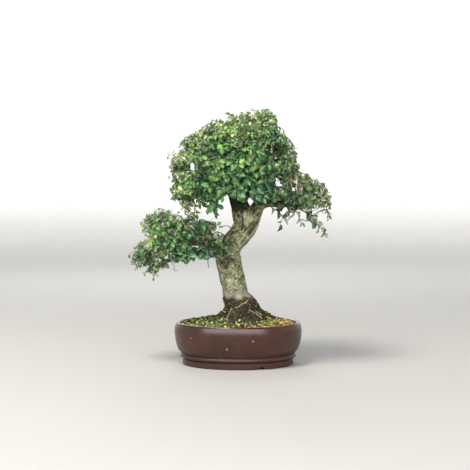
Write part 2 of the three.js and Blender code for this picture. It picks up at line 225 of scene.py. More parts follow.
def hitTree(*pieces):  # the pieces' faces, to find where a line of sight meets them
    points, faces = [], []
    for piece in pieces:
        first = len(points)
        points += [vertex.co.copy() for vertex in piece.data.vertices]
        faces += [[first + corner for corner in face.vertices] for face in piece.data.polygons]
    return BVHTree.FromPolygons(points, faces)


def sightHit(tree, x, z):  # place and normal of the surface that the camera sees at x and z
    place, normal, _, _ = tree.ray_cast(eye, (Vector(toFrame(inView(x, z, 0))) - eye).normalized())
    return (None, None) if place is None else ((np.array(place) - potMiddle) / mm, np.array(normal))


# floor and light: a pale bowl-shaped studio with broad soft boxes
studio = {
    "floorRadius": 3.6, "wallHeight": 2.4, "bend": 1.4, "sides": 96, "bendSteps": 12,
    "floorColour": "#a9a9a8", "wallColour": "#efeeec", "sky": 0.31,
}
bowlRings = []
for step in range(studio["bendSteps"] + 1):
    turn = math.pi / 2 * step / studio["bendSteps"]
    bowlRings.append((studio["floorRadius"] + studio["bend"] * math.sin(turn),
                      studio["bend"] * (1 - math.cos(turn))))
bowlRings.append((studio["floorRadius"] + studio["bend"], studio["wallHeight"]))
bowlSides = studio["sides"]
bowlPoints = []
for radius, height in bowlRings:
    for k in range(bowlSides):
        angle = full * k / bowlSides
        bowlPoints.append((1000 * radius * math.cos(angle), 1000 * radius * math.sin(angle), 1000 * height))
bowlFaces = [tuple(range(bowlSides))] + [face[::-1] for face in bandFaces(len(bowlRings), bowlSides)]

# painted studio board: flat and matt, whiter up the wall so that the backdrop looks even
floorFinish, tree, surface, where = newFinish("paintedStudioBoard", Roughness=0.9)
cloud = addNode(tree, "ShaderNodeTexNoise", inputs={"Vector": where, "Scale": perMetre(900), "Detail": 2.0})
height = addNode(tree, "ShaderNodeSeparateXYZ", inputs={"Vector": where}).outputs["Z"]
rise = addNode(tree, "ShaderNodeMapRange", inputs={"Value": height, "From Max": 0.4, "To Max": 0.96})
lift = addNode(tree, "ShaderNodeMath", {"operation": "MULTIPLY_ADD"}, {0: cloud, 1: 0.04, 2: rise})
shade = addNode(tree, "ShaderNodeValToRGB",
                {"stops": [(0.0, studio["floorColour"]), (1.0, studio["wallColour"])]}, {"Fac": lift})
feed(surface, {"Base Color": shade})
studioFloor = newPiece("studioFloor", bowlPoints, bowlFaces, [floorFinish])

world = bpy.data.worlds.new("softRoom")
world.use_nodes = True
feed(world.node_tree.nodes["Background"], {"Color": linear("#f3f3f0"), "Strength": studio["sky"]})
scene.world = world

softBoxes = {  # place and point aimed at in metres, width and height, watts, colour
    "boxAbove": ((-0.6, -0.8, 2.1), (0, 0, 0.4), (0.7, 0.7), 52, "#fff7e8"),
    "boxFront": ((-0.25, -1.9, 0.84), (0, 0, 0.12), (4.4, 0.9), 58, "#f3f1f5"),
    "boxBehind": ((-0.3, 2.2, 1.6), (0, 0, 0.4), (1.2, 1.2), 18, "#ffffff"),
    "backWash": ((0, 2.5, 2.6), (0, 4.7, 0.1), (5.0, 0.8), 100, "#ffffff"),
    "frontWash": ((0, -2.7, 2.6), (0, -4.9, 0.2), (5.0, 0.8), 50, "#ffffff"),
    "leftWash": ((-2.7, 0, 2.6), (-4.9, 0, 0.2), (0.8, 5.0), 45, "#ffffff"),
    "rightWash": ((2.7, 0, 2.6), (4.9, 0, 0.2), (0.8, 5.0), 45, "#ffffff"),
}
for name, (spot, goal, (width, tall), power, colour) in softBoxes.items():
    lamp = bpy.data.lights.new(name, "AREA")
    lamp.shape = "RECTANGLE"
    lamp.size = width
    lamp.size_y = tall
    lamp.energy = power
    lamp.color = linear(colour)[:3]
    box = bpy.data.objects.new(name, lamp)
    scene.collection.objects.link(box)
    box.location = spot
    box.rotation_euler = (Vector(goal) - Vector(spot)).to_track_quat("-Z", "Y").to_euler()
print("camera, floor and soft boxes are set")


# scattering: instances of a small set of shapes on points that carry their own size and turn
def newGroup(name, sockets):
    group = bpy.data.node_groups.new(name, "GeometryNodeTree")
    group.is_modifier = True
    group.interface.new_socket("Geometry", in_out="OUTPUT", socket_type="NodeSocketGeometry")
    group.interface.new_socket("Geometry", in_out="INPUT", socket_type="NodeSocketGeometry")
    for label, kind in sockets:
        group.interface.new_socket(label, in_out="INPUT", socket_type="NodeSocket" + kind)
    return group


def scatterTree(name):
    group = newGroup(name, (("Shapes", "Collection"), ("Size", "Float"),
                            ("Finish", "Material"), ("Seed", "Int")))
    given = addNode(group, "NodeGroupInput")
    size = addNode(group, "GeometryNodeInputNamedAttribute", {"data_type": "FLOAT"}, {"Name": "size"})
    turn = addNode(group, "GeometryNodeInputNamedAttribute", {"data_type": "FLOAT_VECTOR"}, {"Name": "turn"})
    scale = addNode(group, "ShaderNodeMath", {"operation": "MULTIPLY"}, {0: size, 1: given.outputs["Size"]})
    spots = addNode(group, "GeometryNodeMeshToPoints", inputs={"Mesh": given.outputs["Geometry"]})
    shapes = addNode(group, "GeometryNodeCollectionInfo", inputs={
        "Collection": given.outputs["Shapes"], "Separate Children": True, "Reset Children": True})
    pick = addNode(group, "FunctionNodeRandomValue", {"data_type": "INT"},
                   {4: 0, 5: 2, "Seed": given.outputs["Seed"]})
    rotation = addNode(group, "FunctionNodeEulerToRotation", inputs={"Euler": turn})
    laid = addNode(group, "GeometryNodeInstanceOnPoints", inputs={
        "Points": spots, "Instance": shapes,
        "Pick Instance": True, "Instance Index": pick,
        "Rotation": rotation, "Scale": scale})
    real = addNode(group, "GeometryNodeRealizeInstances", inputs={"Geometry": laid})
    dressed = addNode(group, "GeometryNodeSetMaterial", inputs={
        "Geometry": real, "Material": given.outputs["Finish"]})
    addNode(group, "NodeGroupOutput", inputs={"Geometry": dressed})
    return group


def shapeSet(name, meshes):  # a small collection kept out of the scene, for the instances
    shapes = bpy.data.collections.new(name)
    for index, (points, faces) in enumerate(meshes):
        mesh = bpy.data.meshes.new(f"{name}{index}")
        mesh.from_pydata([tuple(p) for p in points], [], faces)
        shapes.objects.link(bpy.data.objects.new(f"{name}{index}", mesh))
    return shapes


def clearShapes(shapes):
    for shape in list(shapes.objects):
        mesh = shape.data
        bpy.data.objects.remove(shape)
        bpy.data.meshes.remove(mesh)
    bpy.data.collections.remove(shapes)


class Spots:  # places where small things lie, with each one's size, turn and shades
    def __init__(self, *shades):
        self.places, self.sizes, self.turns = [], [], []
        self.shades = {name: [] for name in shades}

    def add(self, place, size, turn, *shades):
        self.places.append(place)
        self.sizes.append(size)
        self.turns.append(turn)
        for values, shade in zip(self.shades.values(), shades):
            values.append(shade)

    def scatter(self, name, shapes, finish, seed, smooth=False):
        piece = newPiece(name, self.places, [], [], smooth=False)
        addValues(piece.data, "size", self.sizes)
        addValues(piece.data, "turn", self.turns, "FLOAT_VECTOR")
        for label, values in self.shades.items():
            addValues(piece.data, label, values)
        spread = piece.modifiers.new("scatter", "NODES")
        spread.node_group = scatterGroup
        setInputs(spread, {"Shapes": shapes, "Size": mm, "Finish": finish, "Seed": seed})
        settle(piece)
        clearShapes(shapes)
        if smooth:
            piece.data.shade_smooth()
        return piece


def anyTurn(rnd):
    return [rnd.uniform(0, full) for _ in range(3)]


def stoneShape(seed, flat=1.0):  # a rounded, dented pebble one unit across, 24 faces
    rnd = random.Random(seed)
    shell = bmesh.new()
    bmesh.ops.create_cube(shell, size=1.0)
    bmesh.ops.subdivide_edges(shell, edges=shell.edges[:], cuts=1, use_grid_fill=True)
    squash = [rnd.uniform(0.75, 1.0), rnd.uniform(0.75, 1.0), flat * rnd.uniform(0.75, 1.0)]
    for corner in shell.verts:
        reach = corner.co.normalized() * 0.5 * rnd.uniform(0.84, 1.1)
        corner.co = Vector([reach[i] * squash[i] for i in range(3)])
    points = [tuple(corner.co) for corner in shell.verts]
    faces = [tuple(corner.index for corner in face.verts) for face in shell.faces]
    shell.free()
    return points, faces


def tuftShape(seed, blades=5):  # short pointed blades from one spot, each a closed sliver
    rnd = random.Random(seed)
    points, faces = [], []
    for _ in range(blades):
        angle = rnd.uniform(0, full)
        lean = rnd.uniform(0.2, 0.75)
        reach = rnd.uniform(0.7, 1.0)
        wide = rnd.uniform(0.1, 0.16)
        out = np.array([math.cos(angle), math.sin(angle), 0])
        side = np.array([-math.sin(angle), math.cos(angle), 0])
        tip = out * reach * math.sin(lean) + up * reach * math.cos(lean)
        first = len(points)
        points += [-side * wide, side * wide, tip * 0.5 + out * wide * 0.7 + up * 0.1,
                   tip * 0.5 - out * wide * 0.7, tip]
        faces += [(first, first + 2, first + 4), (first + 2, first + 1, first + 4),
                  (first + 1, first + 3, first + 4), (first + 3, first, first + 4),
                  (first, first + 3, first + 1, first + 2)]
    return points, faces


scatterGroup = scatterTree("scatterOnPoints")

# pot: unglazed oval stoneware
pot = {
    "oval": 230 / 280,
    "segments": 180,
    # half width and height, from the middle of the underside round the outside to the middle of the floor
    "profile": [
        (0, 9), (60, 9), (99, 9), (101, 8.2), (101, 1.4), (102.2, 0), (119.4, 0), (120.8, 1.2), (121, 3),
        (121, 9), (120.9, 12.6), (119.6, 13.8), (119.2, 14.6), (120.2, 15.3), (124.4, 15.9),
        (126.2, 17.2), (126.7, 19.6), (126.4, 22), (125.4, 23.6), (124.0, 24.4), (124.0, 25.2),
        (125.4, 26.4), (127.4, 28.4), (128.7, 29.7), (128.3, 30.4), (129.5, 30.9), (131.6, 34),
        (133.8, 39), (135.7, 45), (137.4, 52), (138.7, 60), (139.5, 67), (139.8, 72.5), (139.6, 76),
        (139, 80), (138.2, 84), (137.1, 88), (136, 90.7), (134.6, 91.7), (132.4, 92),
        (130.2, 91.7), (128.6, 90.8),
        (127.4, 89), (127.2, 86.6), (128.4, 82), (129.6, 76), (128.6, 62), (126.2, 47), (122.4, 34),
        (117, 25), (111, 20.2), (104, 19), (60, 19), (0, 19),
    ],
    "notchAngles": (-66, 114),
    "notchRadius": 9,
    "notchRise": 0.62,
    "notchSpan": (92, 150),   # from inside the foot ring to outside it
    "drainRadius": 11,
    "drainOffset": 58,
    "floorTop": 40,           # the drain cutters reach above the floor up to here
    "sharpAngle": 38,
    "clay": ((0.3, "#2a1306"), (0.5, "#351808"), (0.7, "#421f0a")),
    "grit": 0.9,        # mm; the real body's grain is near 0.3, drawn coarser so that it shows
    # lime specks that the camera sees, x and z, and how many more stand round the rest of the wall
    "chipsSeen": [(-103, 55), (-25, 30), (33, 48), (104, 34), (-38, 11)],
    "chipsElsewhere": 6,
    "chipHeights": (36, 74),
    "chipArc": (20, 140),     # degrees: where it starts and how far it goes
    "chipSize": (2.9, 4.4),
}


def turned(profile, segments, oval):  # closed skin, poles as fans
    points = []
    rings = [(r, z) for r, z in profile if r > 0]
    for r, z in rings:
        for k in range(segments):
            angle = full * k / segments
            points.append((r * math.cos(angle), r * oval * math.sin(angle), z))
    faces = bandFaces(len(rings), segments)
    for height, ring, way in ((profile[0][1], 0, -1), (profile[-1][1], len(rings) - 1, 1)):
        points.append((0, 0, height))
        for k in range(segments):
            a = ring * segments + k
            b = ring * segments + (k + 1) % segments
            faces.append((a, b, len(points) - 1)[::way])
    return points, faces


def cutWith(piece, cutterPoints, cutterFaces):
    cutter = newPiece("cutter", cutterPoints, cutterFaces, [])
    cut = piece.modifiers.new("cut", "BOOLEAN")
    cut.operation = "DIFFERENCE"
    cut.solver = "EXACT"
    cut.object = cutter
    settle(piece)
    bpy.data.objects.remove(cutter)


def rodAlong(start, end, halfWidth, halfHeight, sides=24):  # a closed rod with an oval section
    start = np.array(start, float)
    forward = unit(np.array(end, float) - start)
    side = unit(np.cross(forward, up if abs(forward[2]) < 0.9 else np.array([1.0, 0, 0])))
    lift = np.cross(side, forward)
    points = []
    for middle in (start, np.array(end, float)):
        for k in range(sides):
            angle = full * k / sides
            points.append(middle + side * halfWidth * math.cos(angle) + lift * halfHeight * math.sin(angle))
    faces = [tuple(range(sides)), tuple(range(2 * sides - 1, sides - 1, -1))]
    faces += [(k, k + sides, (k + 1) % sides + sides, (k + 1) % sides) for k in range(sides)]
    return points, faces


# stoneware fired without glaze: satin brown where hands rub its upper wall, duller towards the foot
stoneware, tree, surface, where = newFinish("unglazedStoneware", IOR=1.52, Specular_IOR_Level=0.58)
kiln = addNode(tree, "ShaderNodeTexNoise", inputs={"Vector": where, "Scale": perMetre(70), "Detail": 4.0})
body = addNode(tree, "ShaderNodeValToRGB", {"stops": pot["clay"]}, {"Fac": kiln})
grain = addNode(tree, "ShaderNodeTexNoise", inputs={
    "Vector": where, "Scale": perMetre(pot["grit"]), "Detail": 3.0})
grainShade = addNode(tree, "ShaderNodeMapRange", inputs={
    "Value": grain, "From Min": 0.3, "From Max": 0.7, "To Min": 0.86, "To Max": 1.12})
grained = addNode(tree, "ShaderNodeMix", {"data_type": "RGBA", "blend_type": "MULTIPLY"},
                  {0: 1.0, 6: body, 7: grainShade})
height = addNode(tree, "ShaderNodeSeparateXYZ", inputs={"Vector": where}).outputs["Z"]
handled = addNode(tree, "ShaderNodeMapRange", inputs={
    "Value": height, "From Min": 0.03, "From Max": 0.075, "To Min": 0.16, "To Max": 0.0})
rub = addNode(tree, "ShaderNodeMath", {"operation": "MULTIPLY_ADD"}, {0: kiln, 1: 0.14, 2: 0.16})
polish = addNode(tree, "ShaderNodeMath", {"operation": "ADD"}, {0: rub, 1: handled})
dent = addNode(tree, "ShaderNodeBump", inputs={"Strength": 0.25, "Distance": 0.0003, "Height": grain})
feed(surface, {"Base Color": grained, "Roughness": polish, "Normal": dent})

ovalPot = newPiece("ovalPot", *turned(pot["profile"], pot["segments"], pot["oval"]), [stoneware])
for degrees in pot["notchAngles"]:
    angle = math.radians(degrees)
    inner, outer = ((r * math.cos(angle), r * pot["oval"] * math.sin(angle), 0) for r in pot["notchSpan"])
    cutWith(ovalPot, *rodAlong(inner, outer, pot["notchRadius"], pot["notchRadius"] * pot["notchRise"]))
for x in (-pot["drainOffset"], pot["drainOffset"]):
    cutWith(ovalPot, *rodAlong((x, 0, 0), (x, 0, pot["floorTop"]), pot["drainRadius"], pot["drainRadius"]))
ovalPot.data.set_sharp_from_angle(angle=math.radians(pot["sharpAngle"]))
attach(ovalPot, "stoneware", "pot", "drain_collar_left", "drain_collar_right")

# burst lime: small cream chips proud of the clay, chalky and dull
burstLime, tree, surface, where = newFinish("burstLime", Roughness=0.8, IOR=1.45)
chalk = addNode(tree, "ShaderNodeTexNoise", inputs={"Vector": where, "Scale": perMetre(1.2), "Detail": 2.0})
cream = addNode(tree, "ShaderNodeValToRGB", {"stops": [(0.35, "#856957"), (0.65, "#baa08a")]}, {"Fac": chalk})
feed(surface, {"Base Color": cream})
rnd = random.Random(12)
chips = Spots()
potSurface = hitTree(ovalPot)
for x, z in pot["chipsSeen"]:
    place, normal = sightHit(potSurface, x, z)
    turn = Vector(normal).to_track_quat("Z", "Y").to_euler()
    chips.add(place, rnd.uniform(*pot["chipSize"]), tuple(turn))
wall = [(r, z) for r, z in pot["profile"] if r > 131 and z < 77]   # the rising part of the profile
arcStart, arc = pot["chipArc"]
for k in range(pot["chipsElsewhere"]):
    angle = math.radians(arcStart + arc * (k + rnd.random()) / pot["chipsElsewhere"])
    z = rnd.uniform(*pot["chipHeights"])
    r = float(np.interp(z, [height for _, height in wall], [halfWidth for halfWidth, _ in wall]))
    place = (r * math.cos(angle), r * pot["oval"] * math.sin(angle), z)
    turn = Vector((math.cos(angle) * pot["oval"], math.sin(angle), 0)).to_track_quat("Z", "Y").to_euler()
    chips.add(place, rnd.uniform(*pot["chipSize"]), tuple(turn))
chipShapes = shapeSet("chip", [stoneShape(seed, 0.4) for seed in (2, 6, 9)])
limeChips = chips.scatter("limeChips", chipShapes, burstLime, 3)
attach(limeChips, "stoneware")
print("pot is turned:", len(ovalPot.data.polygons), "faces")

# moulded polypropylene mesh over the drainage holes: matt and slightly grained
plastic, tree, surface, where = newFinish("mouldedPolypropylene", Roughness=0.62, IOR=1.49)
dust = addNode(tree, "ShaderNodeTexNoise", inputs={"Vector": where, "Scale": perMetre(6), "Detail": 3.0})
dusted = addNode(tree, "ShaderNodeValToRGB", {"stops": [(0.35, "#262a27"), (0.7, "#4a463a")]}, {"Fac": dust})
feed(surface, {"Base Color": dusted})
for name in ("drain_mesh_left", "drain_mesh_right"):
    netting = frame["nodes"][name]
    netting.data.materials.clear()
    netting.data.materials.append(plastic)

# soil: domed earth with grit and litter lying on it
soil = {
    "edge": 126.4, "oval": 230 / 280, "edgeHeight": 86.4, "dome": 15, "rings": 44, "segments": 132,
    "mound": 9, "moundReach": (52, 44), "lump": 2.2,
    "underside": [(111.0, 20.7), (121.6, 34), (129.0, 76), (126.4, 84)],
    "gritPitch": 4.7, "gritJitter": 1.2, "gritSize": (3.4, 7.4), "upperMissing": 0.6, "mossTufts": 1700,
    "bareReach": 24, "litterReach": 58,   # from the trunk, without grit and under more litter than grit
    "patch": 22,                          # size of the uneven patches
    # across the pot, where it starts and over how many millimetres: golden grit and damp grit
    "golden": (35, 60), "damp": (-25, 75),
    # moss cushions: x, y, reach, share of the tufts, brightness
    "moss": [
        (-50, -78, 19, 0.08, 0.9), (64, -62, 17, 0.11, 0.9), (-22, -58, 26, 0.12, 0.4),
        (30, -60, 28, 0.12, 0.35), (-62, -44, 34, 0.14, 0.6), (14, 52, 36, 0.12, 0.5),
        (78, 8, 20, 0.05, 0.55), (-80, 20, 28, 0.10, 0.6), (-86, -58, 16, 0.10, 0.85),
    ],
}
baseX = 12   # the trunk's foot


def soilHeight(x, y):
    share = min(1.0, math.hypot(x, y / soil["oval"]) / soil["edge"])
    wide, deep = soil["moundReach"]
    mound = soil["mound"] * math.exp(-((x - baseX - 4) ** 2 / wide ** 2 + (y + 4) ** 2 / deep ** 2))
    lumps = soil["lump"] * noise.noise(Vector((x / 17, y / 17, 3.1)))
    return soil["edgeHeight"] + soil["dome"] * (1 - share ** 2) + mound + lumps * (1 - share ** 6)


def soilSkin():
    n = soil["segments"]
    points = []

    def ring(r, heightAt):
        for k in range(n):
            x = r * math.cos(full * k / n)
            y = r * soil["oval"] * math.sin(full * k / n)
            points.append((x, y, heightAt(x, y)))

    for r, z in soil["underside"]:
        ring(r, lambda x, y: z)
    for step in range(soil["rings"], 0, -1):
        ring(soil["edge"] * step / soil["rings"], soilHeight)
    faces = bandFaces(len(points) // n, n)
    last = len(points) - n
    points.append((0, 0, soil["underside"][0][1]))
    points.append((0, 0, soilHeight(0, 0)))
    for k in range(n):
        faces.append(((k + 1) % n, k, len(points) - 2))
        faces.append((last + k, last + (k + 1) % n, len(points) - 1))
    return points, faces


# damp bonsai earth: dark, crumbly peat and loam, almost without shine
earth, tree, surface, where = newFinish("dampEarth", Roughness=0.95, IOR=1.4)
crumbs = addNode(tree, "ShaderNodeTexNoise", inputs={
    "Vector": where, "Scale": perMetre(3.5), "Detail": 5.0, "Roughness": 0.7})
tint = addNode(tree, "ShaderNodeValToRGB", {"stops": [
    (0.3, "#15130c"), (0.52, "#2a2517"), (0.72, "#4a4227")]}, {"Fac": crumbs})
bumps = addNode(tree, "ShaderNodeBump", inputs={"Strength": 0.9, "Distance": 0.0012, "Height": crumbs})
feed(surface, {"Base Color": tint, "Normal": bumps})
earthBed = newPiece("earthBed", *soilSkin(), [earth])
attach(earthBed, "grit", "soil")

# crushed pumice and baked clay: dry and dull, cream to golden, greener where it stays damp on the left
gritStone, tree, surface, where = newFinish("pumiceGrit", Roughness=0.88, IOR=1.45)
tone = addNode(tree, "ShaderNodeAttribute", {"attribute_name": "tone"}).outputs["Fac"]
dry = addNode(tree, "ShaderNodeValToRGB", {"stops": [
    (0.0, "#1a160c"), (0.28, "#3c341c"), (0.54, "#766939"), (0.74, "#e0d39f"), (0.8, "#403217"),
    (0.9, "#96793d"), (1.0, "#d8c07a")]}, {"Fac": tone})
damp = addNode(tree, "ShaderNodeValToRGB", {"stops": [
    (0.0, "#11170a"), (0.35, "#2f3a16"), (0.58, "#6a6f36"), (0.75, "#d9d292"), (1.0, "#c9c07c")]},
    {"Fac": tone})
peaty = addNode(tree, "ShaderNodeValToRGB", {"stops": [
    (0.0, "#14120c"), (0.5, "#2b2619"), (0.85, "#474026"), (1.0, "#948b62")]}, {"Fac": tone})
dampness = addNode(tree, "ShaderNodeAttribute", {"attribute_name": "damp"}).outputs["Fac"]
litter = addNode(tree, "ShaderNodeAttribute", {"attribute_name": "litter"}).outputs["Fac"]
mixed = addNode(tree, "ShaderNodeMix", {"data_type": "RGBA"}, {0: dampness, 6: dry, 7: damp})
peated = addNode(tree, "ShaderNodeMix", {"data_type": "RGBA"}, {0: litter, 6: mixed, 7: peaty})
pores = addNode(tree, "ShaderNodeTexNoise", inputs={"Vector": where, "Scale": perMetre(0.9), "Detail": 2.0})
poreShade = addNode(tree, "ShaderNodeMapRange", inputs={
    "Value": pores, "From Min": 0.3, "From Max": 0.7, "To Min": 0.74, "To Max": 1.15})
pored = addNode(tree, "ShaderNodeMix", {"data_type": "RGBA", "blend_type": "MULTIPLY"},
                {0: 1.0, 6: peated, 7: poreShade})
pitted = addNode(tree, "ShaderNodeBump", inputs={"Strength": 0.5, "Distance": 0.0003, "Height": pores})
feed(surface, {"Base Color": pored, "Normal": pitted})

# cushion moss: short soft shoots, bright at the tips
moss, tree, surface, where = newFinish("cushionMoss", Roughness=0.8, IOR=1.4, Sheen_Weight=0.3)
tone = addNode(tree, "ShaderNodeAttribute", {"attribute_name": "tone"}).outputs["Fac"]
clumps = addNode(tree, "ShaderNodeTexNoise", inputs={"Vector": where, "Scale": perMetre(9), "Detail": 2.0})
mixTone = addNode(tree, "ShaderNodeMath", {"operation": "MULTIPLY_ADD"}, {0: clumps, 1: 0.4, 2: tone})
greens = addNode(tree, "ShaderNodeValToRGB", {"stops": [
    (0.18, "#191f0d"), (0.5, "#36451a"), (0.8, "#62862e"), (1.0, "#8cb244")]}, {"Fac": mixTone})
feed(surface, {"Base Color": greens})

rnd = random.Random(41)
gravel = Spots("tone", "damp", "litter")
pitch = soil["gritPitch"]
jitter, patch = soil["gritJitter"], soil["patch"]
goldenFrom, goldenOver = soil["golden"]
dampFrom, dampOver = soil["damp"]
rowShare = 0.866   # rows of a triangular pattern stand this much closer
rows = int(soil["edge"] / (pitch * rowShare)) + 1
for layer in range(2):
    for j in range(-rows, rows + 1):
        for i in range(-rows, rows + 1):
            x = (i + 0.5 * (j % 2) + 0.37 * layer) * pitch + rnd.uniform(-jitter, jitter)
            y = (j + 0.5 * layer) * pitch * rowShare + rnd.uniform(-jitter, jitter)
            share = math.hypot(x, y / soil["oval"]) / (soil["edge"] - 1.5)
            fromTrunk = math.hypot(x - baseX, y)
            if share > 1 or fromTrunk < soil["bareReach"] or (layer and rnd.random() < soil["upperMissing"]):
                continue
            size = rnd.uniform(*soil["gritSize"])
            uneven = noise.noise(Vector((x / patch, y / patch, 7.7)))
            covered = 1 / (1 + math.exp((fromTrunk - soil["litterReach"] * (1 + 0.35 * uneven)) / 5))
            if covered > 0.5:
                size *= rnd.uniform(0.4, 0.75)
            golden = x > goldenFrom and rnd.random() < (x - goldenFrom) / goldenOver
            gravel.add((x, y, soilHeight(x, y) + size * (0.15 + 0.32 * layer)), size, anyTurn(rnd),
                       rnd.uniform(0.78, 1) if golden else rnd.random() * 0.73,
                       min(1, max(0, 0.35 - (x - dampFrom) / dampOver + 0.9 * uneven)),
                       1.0 if rnd.random() < covered else 0.0)
stoneCount = len(gravel.places)
surfaceGrit = gravel.scatter("surfaceGrit", shapeSet("stone", [stoneShape(s) for s in (3, 8, 15)]),
                             gritStone, 5, smooth=True)
attach(surfaceGrit, "grit", "soil")
mossSpots = Spots("tone")
for x0, y0, reach, share, bright in soil["moss"]:
    for _ in range(int(share * soil["mossTufts"])):
        x, y = rnd.gauss(x0, reach * 0.5), rnd.gauss(y0, reach * 0.42)
        if math.hypot(x, y / soil["oval"]) < soil["edge"] - 4:
            mossSpots.add((x, y, soilHeight(x, y) + 1.2), rnd.uniform(2.6, 5.2),
                          (rnd.uniform(-0.4, 0.4), rnd.uniform(-0.4, 0.4), rnd.uniform(0, full)),
                          min(1, max(0, bright * 0.7 + rnd.uniform(-0.2, 0.2))))
print("soil:", stoneCount, "stones")

# tree: trunk, limbs, roots and branches in one skin of bark
trunk = {
    "voxel": 1.5, "smoothing": 4, "crackDepth": 1.2, "plateRise": 1.4,
    # mm between long cracks, short pits, plates and patches with more of one than of the other
    "crackSpacing": 6.0, "pitSpacing": 4.2, "plateSpacing": 15, "patchSpacing": 21,
    "stretch": 0.42, "warp": 2.5, "warpSize": 14,   # cracks run along the limb and waver by the warp
    "path": [
        (14, 0, 66, 44), (13, 0, 94, 52), (12, 0, 112, 46), (4, 0, 129, 36), (-4.5, 0, 146, 28),
        (-8, 0, 166, 26.5), (-12, 0, 185, 27.5), (-17, 1, 205, 27.5), (-22, 2, 226, 27.5), (-23, 2, 246, 26),
        (-11, 1, 266, 24.5), (5, 0, 284, 24.5), (17, 0, 303, 25.5), (20, 0, 322, 27), (20, 0, 337, 25),
    ],
    # marks on the bark's front, as x and z that the camera sees: grooves between the limbs and beside the
    # bend with painted shade in them, a pale seam along the bend, pale spots, and hollows with painted shade,
    # each with its reach
    "grooves": [([(9, 338), (9, 322), (11, 308), (8, 292)], 1.6),
                ([(8, 265), (15, 274), (25, 286), (35, 300), (40, 310)], 1.1)],
    "seam": ([(12, 262), (19, 271), (29, 283), (40, 298), (44, 306)], 2),
    "paleSpots": [(17, 325, 7), (19, 312, 8)],
    "hollows": [(-22, 223, 12), (-33, 241, 10)],
    "marksWithin": (155, 345, 55),   # lowest, highest and how far from the middle
    # how much slimmer the right side of the root flare is than a round cone, with its start and reach
    # across, its middle height and its reach in height
    "rightFlank": 7, "flankAt": (22, 18, 128, 20),
    "shadowFrom": (326, 342), "shadowSplit": 14,   # heights above which the crown's shadow is painted on the bark, left and right of x 14
    "clodsBelow": 156,
}
limbs = {
    "leader": [(12, 0, 320, 24), (4, 4, 346, 20), (-5, 8, 376, 17), (-1, 9, 410, 13.5), (12, 6, 445, 10.5),
               (26, 4, 478, 7.5)],
    "right": [(30, 0, 318, 19), (43, -2, 345, 13.5), (54, -4, 374, 11), (68, -2, 404, 9), (80, 2, 434, 7)],
    "leftCrown": [(-4, 8, 374, 12), (-30, 4, 396, 10), (-60, 0, 412, 8.5), (-78, 0, 424, 6.5)],
    "rightLow": [(42, -3, 342, 11), (62, -6, 352, 9.5), (96, -8, 350, 8), (128, -6, 352, 6.5)],
    "front": [(-2, 6, 396, 10), (-4, -22, 412, 8.5), (-2, -48, 420, 6.5)],
    "back": [(2, 10, 398, 10), (8, 36, 414, 8.5), (14, 58, 424, 6.5)],
    "leftLow": [(-18, 0, 250, 17), (-44, -4, 262, 13.5), (-78, -6, 268, 10.5), (-112, -4, 266, 8.5),
                (-142, 0, 262, 6.5)],
}
stub = [(-26, -8, 238, 11), (-40, -14, 239, 9), (-47, -17, 240, 7)]
# surface roots: compass angle, reach and radius
roots = [(-8, 82, 13), (38, 70, 9), (88, 66, 8), (142, 72, 9), (188, 76, 10), (236, 62, 8), (292, 60, 8)]
# limb, then x, y, z and radius of each spray that it carries
sprayPlan = {
    "apex": ("leader", [(-50, 0, 512, 38), (4, 6, 528, 38), (58, 0, 526, 38), (24, 62, 492, 38),
                        (-12, -60, 488, 38), (50, -62, 476, 38)]),
    "right_crown": ("right", [(90, 0, 480, 38), (116, 6, 430, 36), (80, -64, 416, 38), (86, 64, 440, 38)]),
    "left_crown": ("leftCrown", [(-92, 0, 486, 38), (-126, 0, 432, 38), (-122, 4, 374, 36),
                                 (-62, -62, 448, 38), (-74, -58, 388, 38), (-62, 62, 452, 38),
                                 (-72, 60, 390, 38)]),
    "front_crown": ("front", [(8, -94, 438, 38), (38, -74, 382, 36), (-24, -86, 392, 36)]),
    "back_crown": ("back", [(16, 94, 426, 38), (52, 74, 384, 36)]),
    "right_low": ("rightLow", [(164, 0, 376, 38), (166, -8, 322, 32), (122, -46, 344, 34),
                               (128, 46, 362, 36)]),
    "left_low": ("leftLow", [(-206, 0, 246, 34), (-186, 4, 312, 35), (-132, 0, 302, 32),
                             (-160, -42, 264, 34), (-160, 44, 270, 34), (-120, -42, 254, 33),
                             (-100, 42, 278, 33), (-168, -4, 212, 30), (-76, 0, 302, 28),
                             (-86, -42, 284, 26), (-62, -42, 248, 26)]),
}


def smoothPath(stations, step=3.0):  # a centripetal curve through the stations, with straight-line radii
    p = np.array(stations, float)
    ends = np.vstack([2 * p[0] - p[1], p, 2 * p[-1] - p[-2]])
    path = []
    for i in range(len(p) - 1):
        a, b, c, d = (q[:3] for q in ends[i:i + 4])
        s0, s1, s2 = (max(1e-4, float(np.linalg.norm(v))) ** 0.5 for v in (b - a, c - b, d - c))
        t1 = ((b - a) / s0 - (c - a) / (s0 + s1) + (c - b) / s1) * s1
        t2 = ((c - b) / s1 - (d - b) / (s1 + s2) + (d - c) / s2) * s1
        count = max(2, int(np.linalg.norm(c - b) / step))
        for k in range(count + (i == len(p) - 2)):
            u = k / count
            spot = b + t1 * u + (-3 * b + 3 * c - 2 * t1 - t2) * u ** 2 + (2 * b - 2 * c + t1 + t2) * u ** 3
            path.append(np.append(spot, p[i][3] + (p[i + 1][3] - p[i][3]) * u))
    return np.array(path)


def framesAlong(path):  # tangent, normal and binormal carried along without twist
    tangents = np.gradient(path[:, :3], axis=0)
    tangents /= np.linalg.norm(tangents, axis=1)[:, None]
    normal = unit(np.cross(tangents[0], [0, 1, 0] if abs(tangents[0][1]) < 0.9 else [1, 0, 0]))
    frames = []
    for t in tangents:
        normal = unit(normal - t * np.dot(normal, t))
        frames.append((t, normal, np.cross(t, normal)))
    return frames


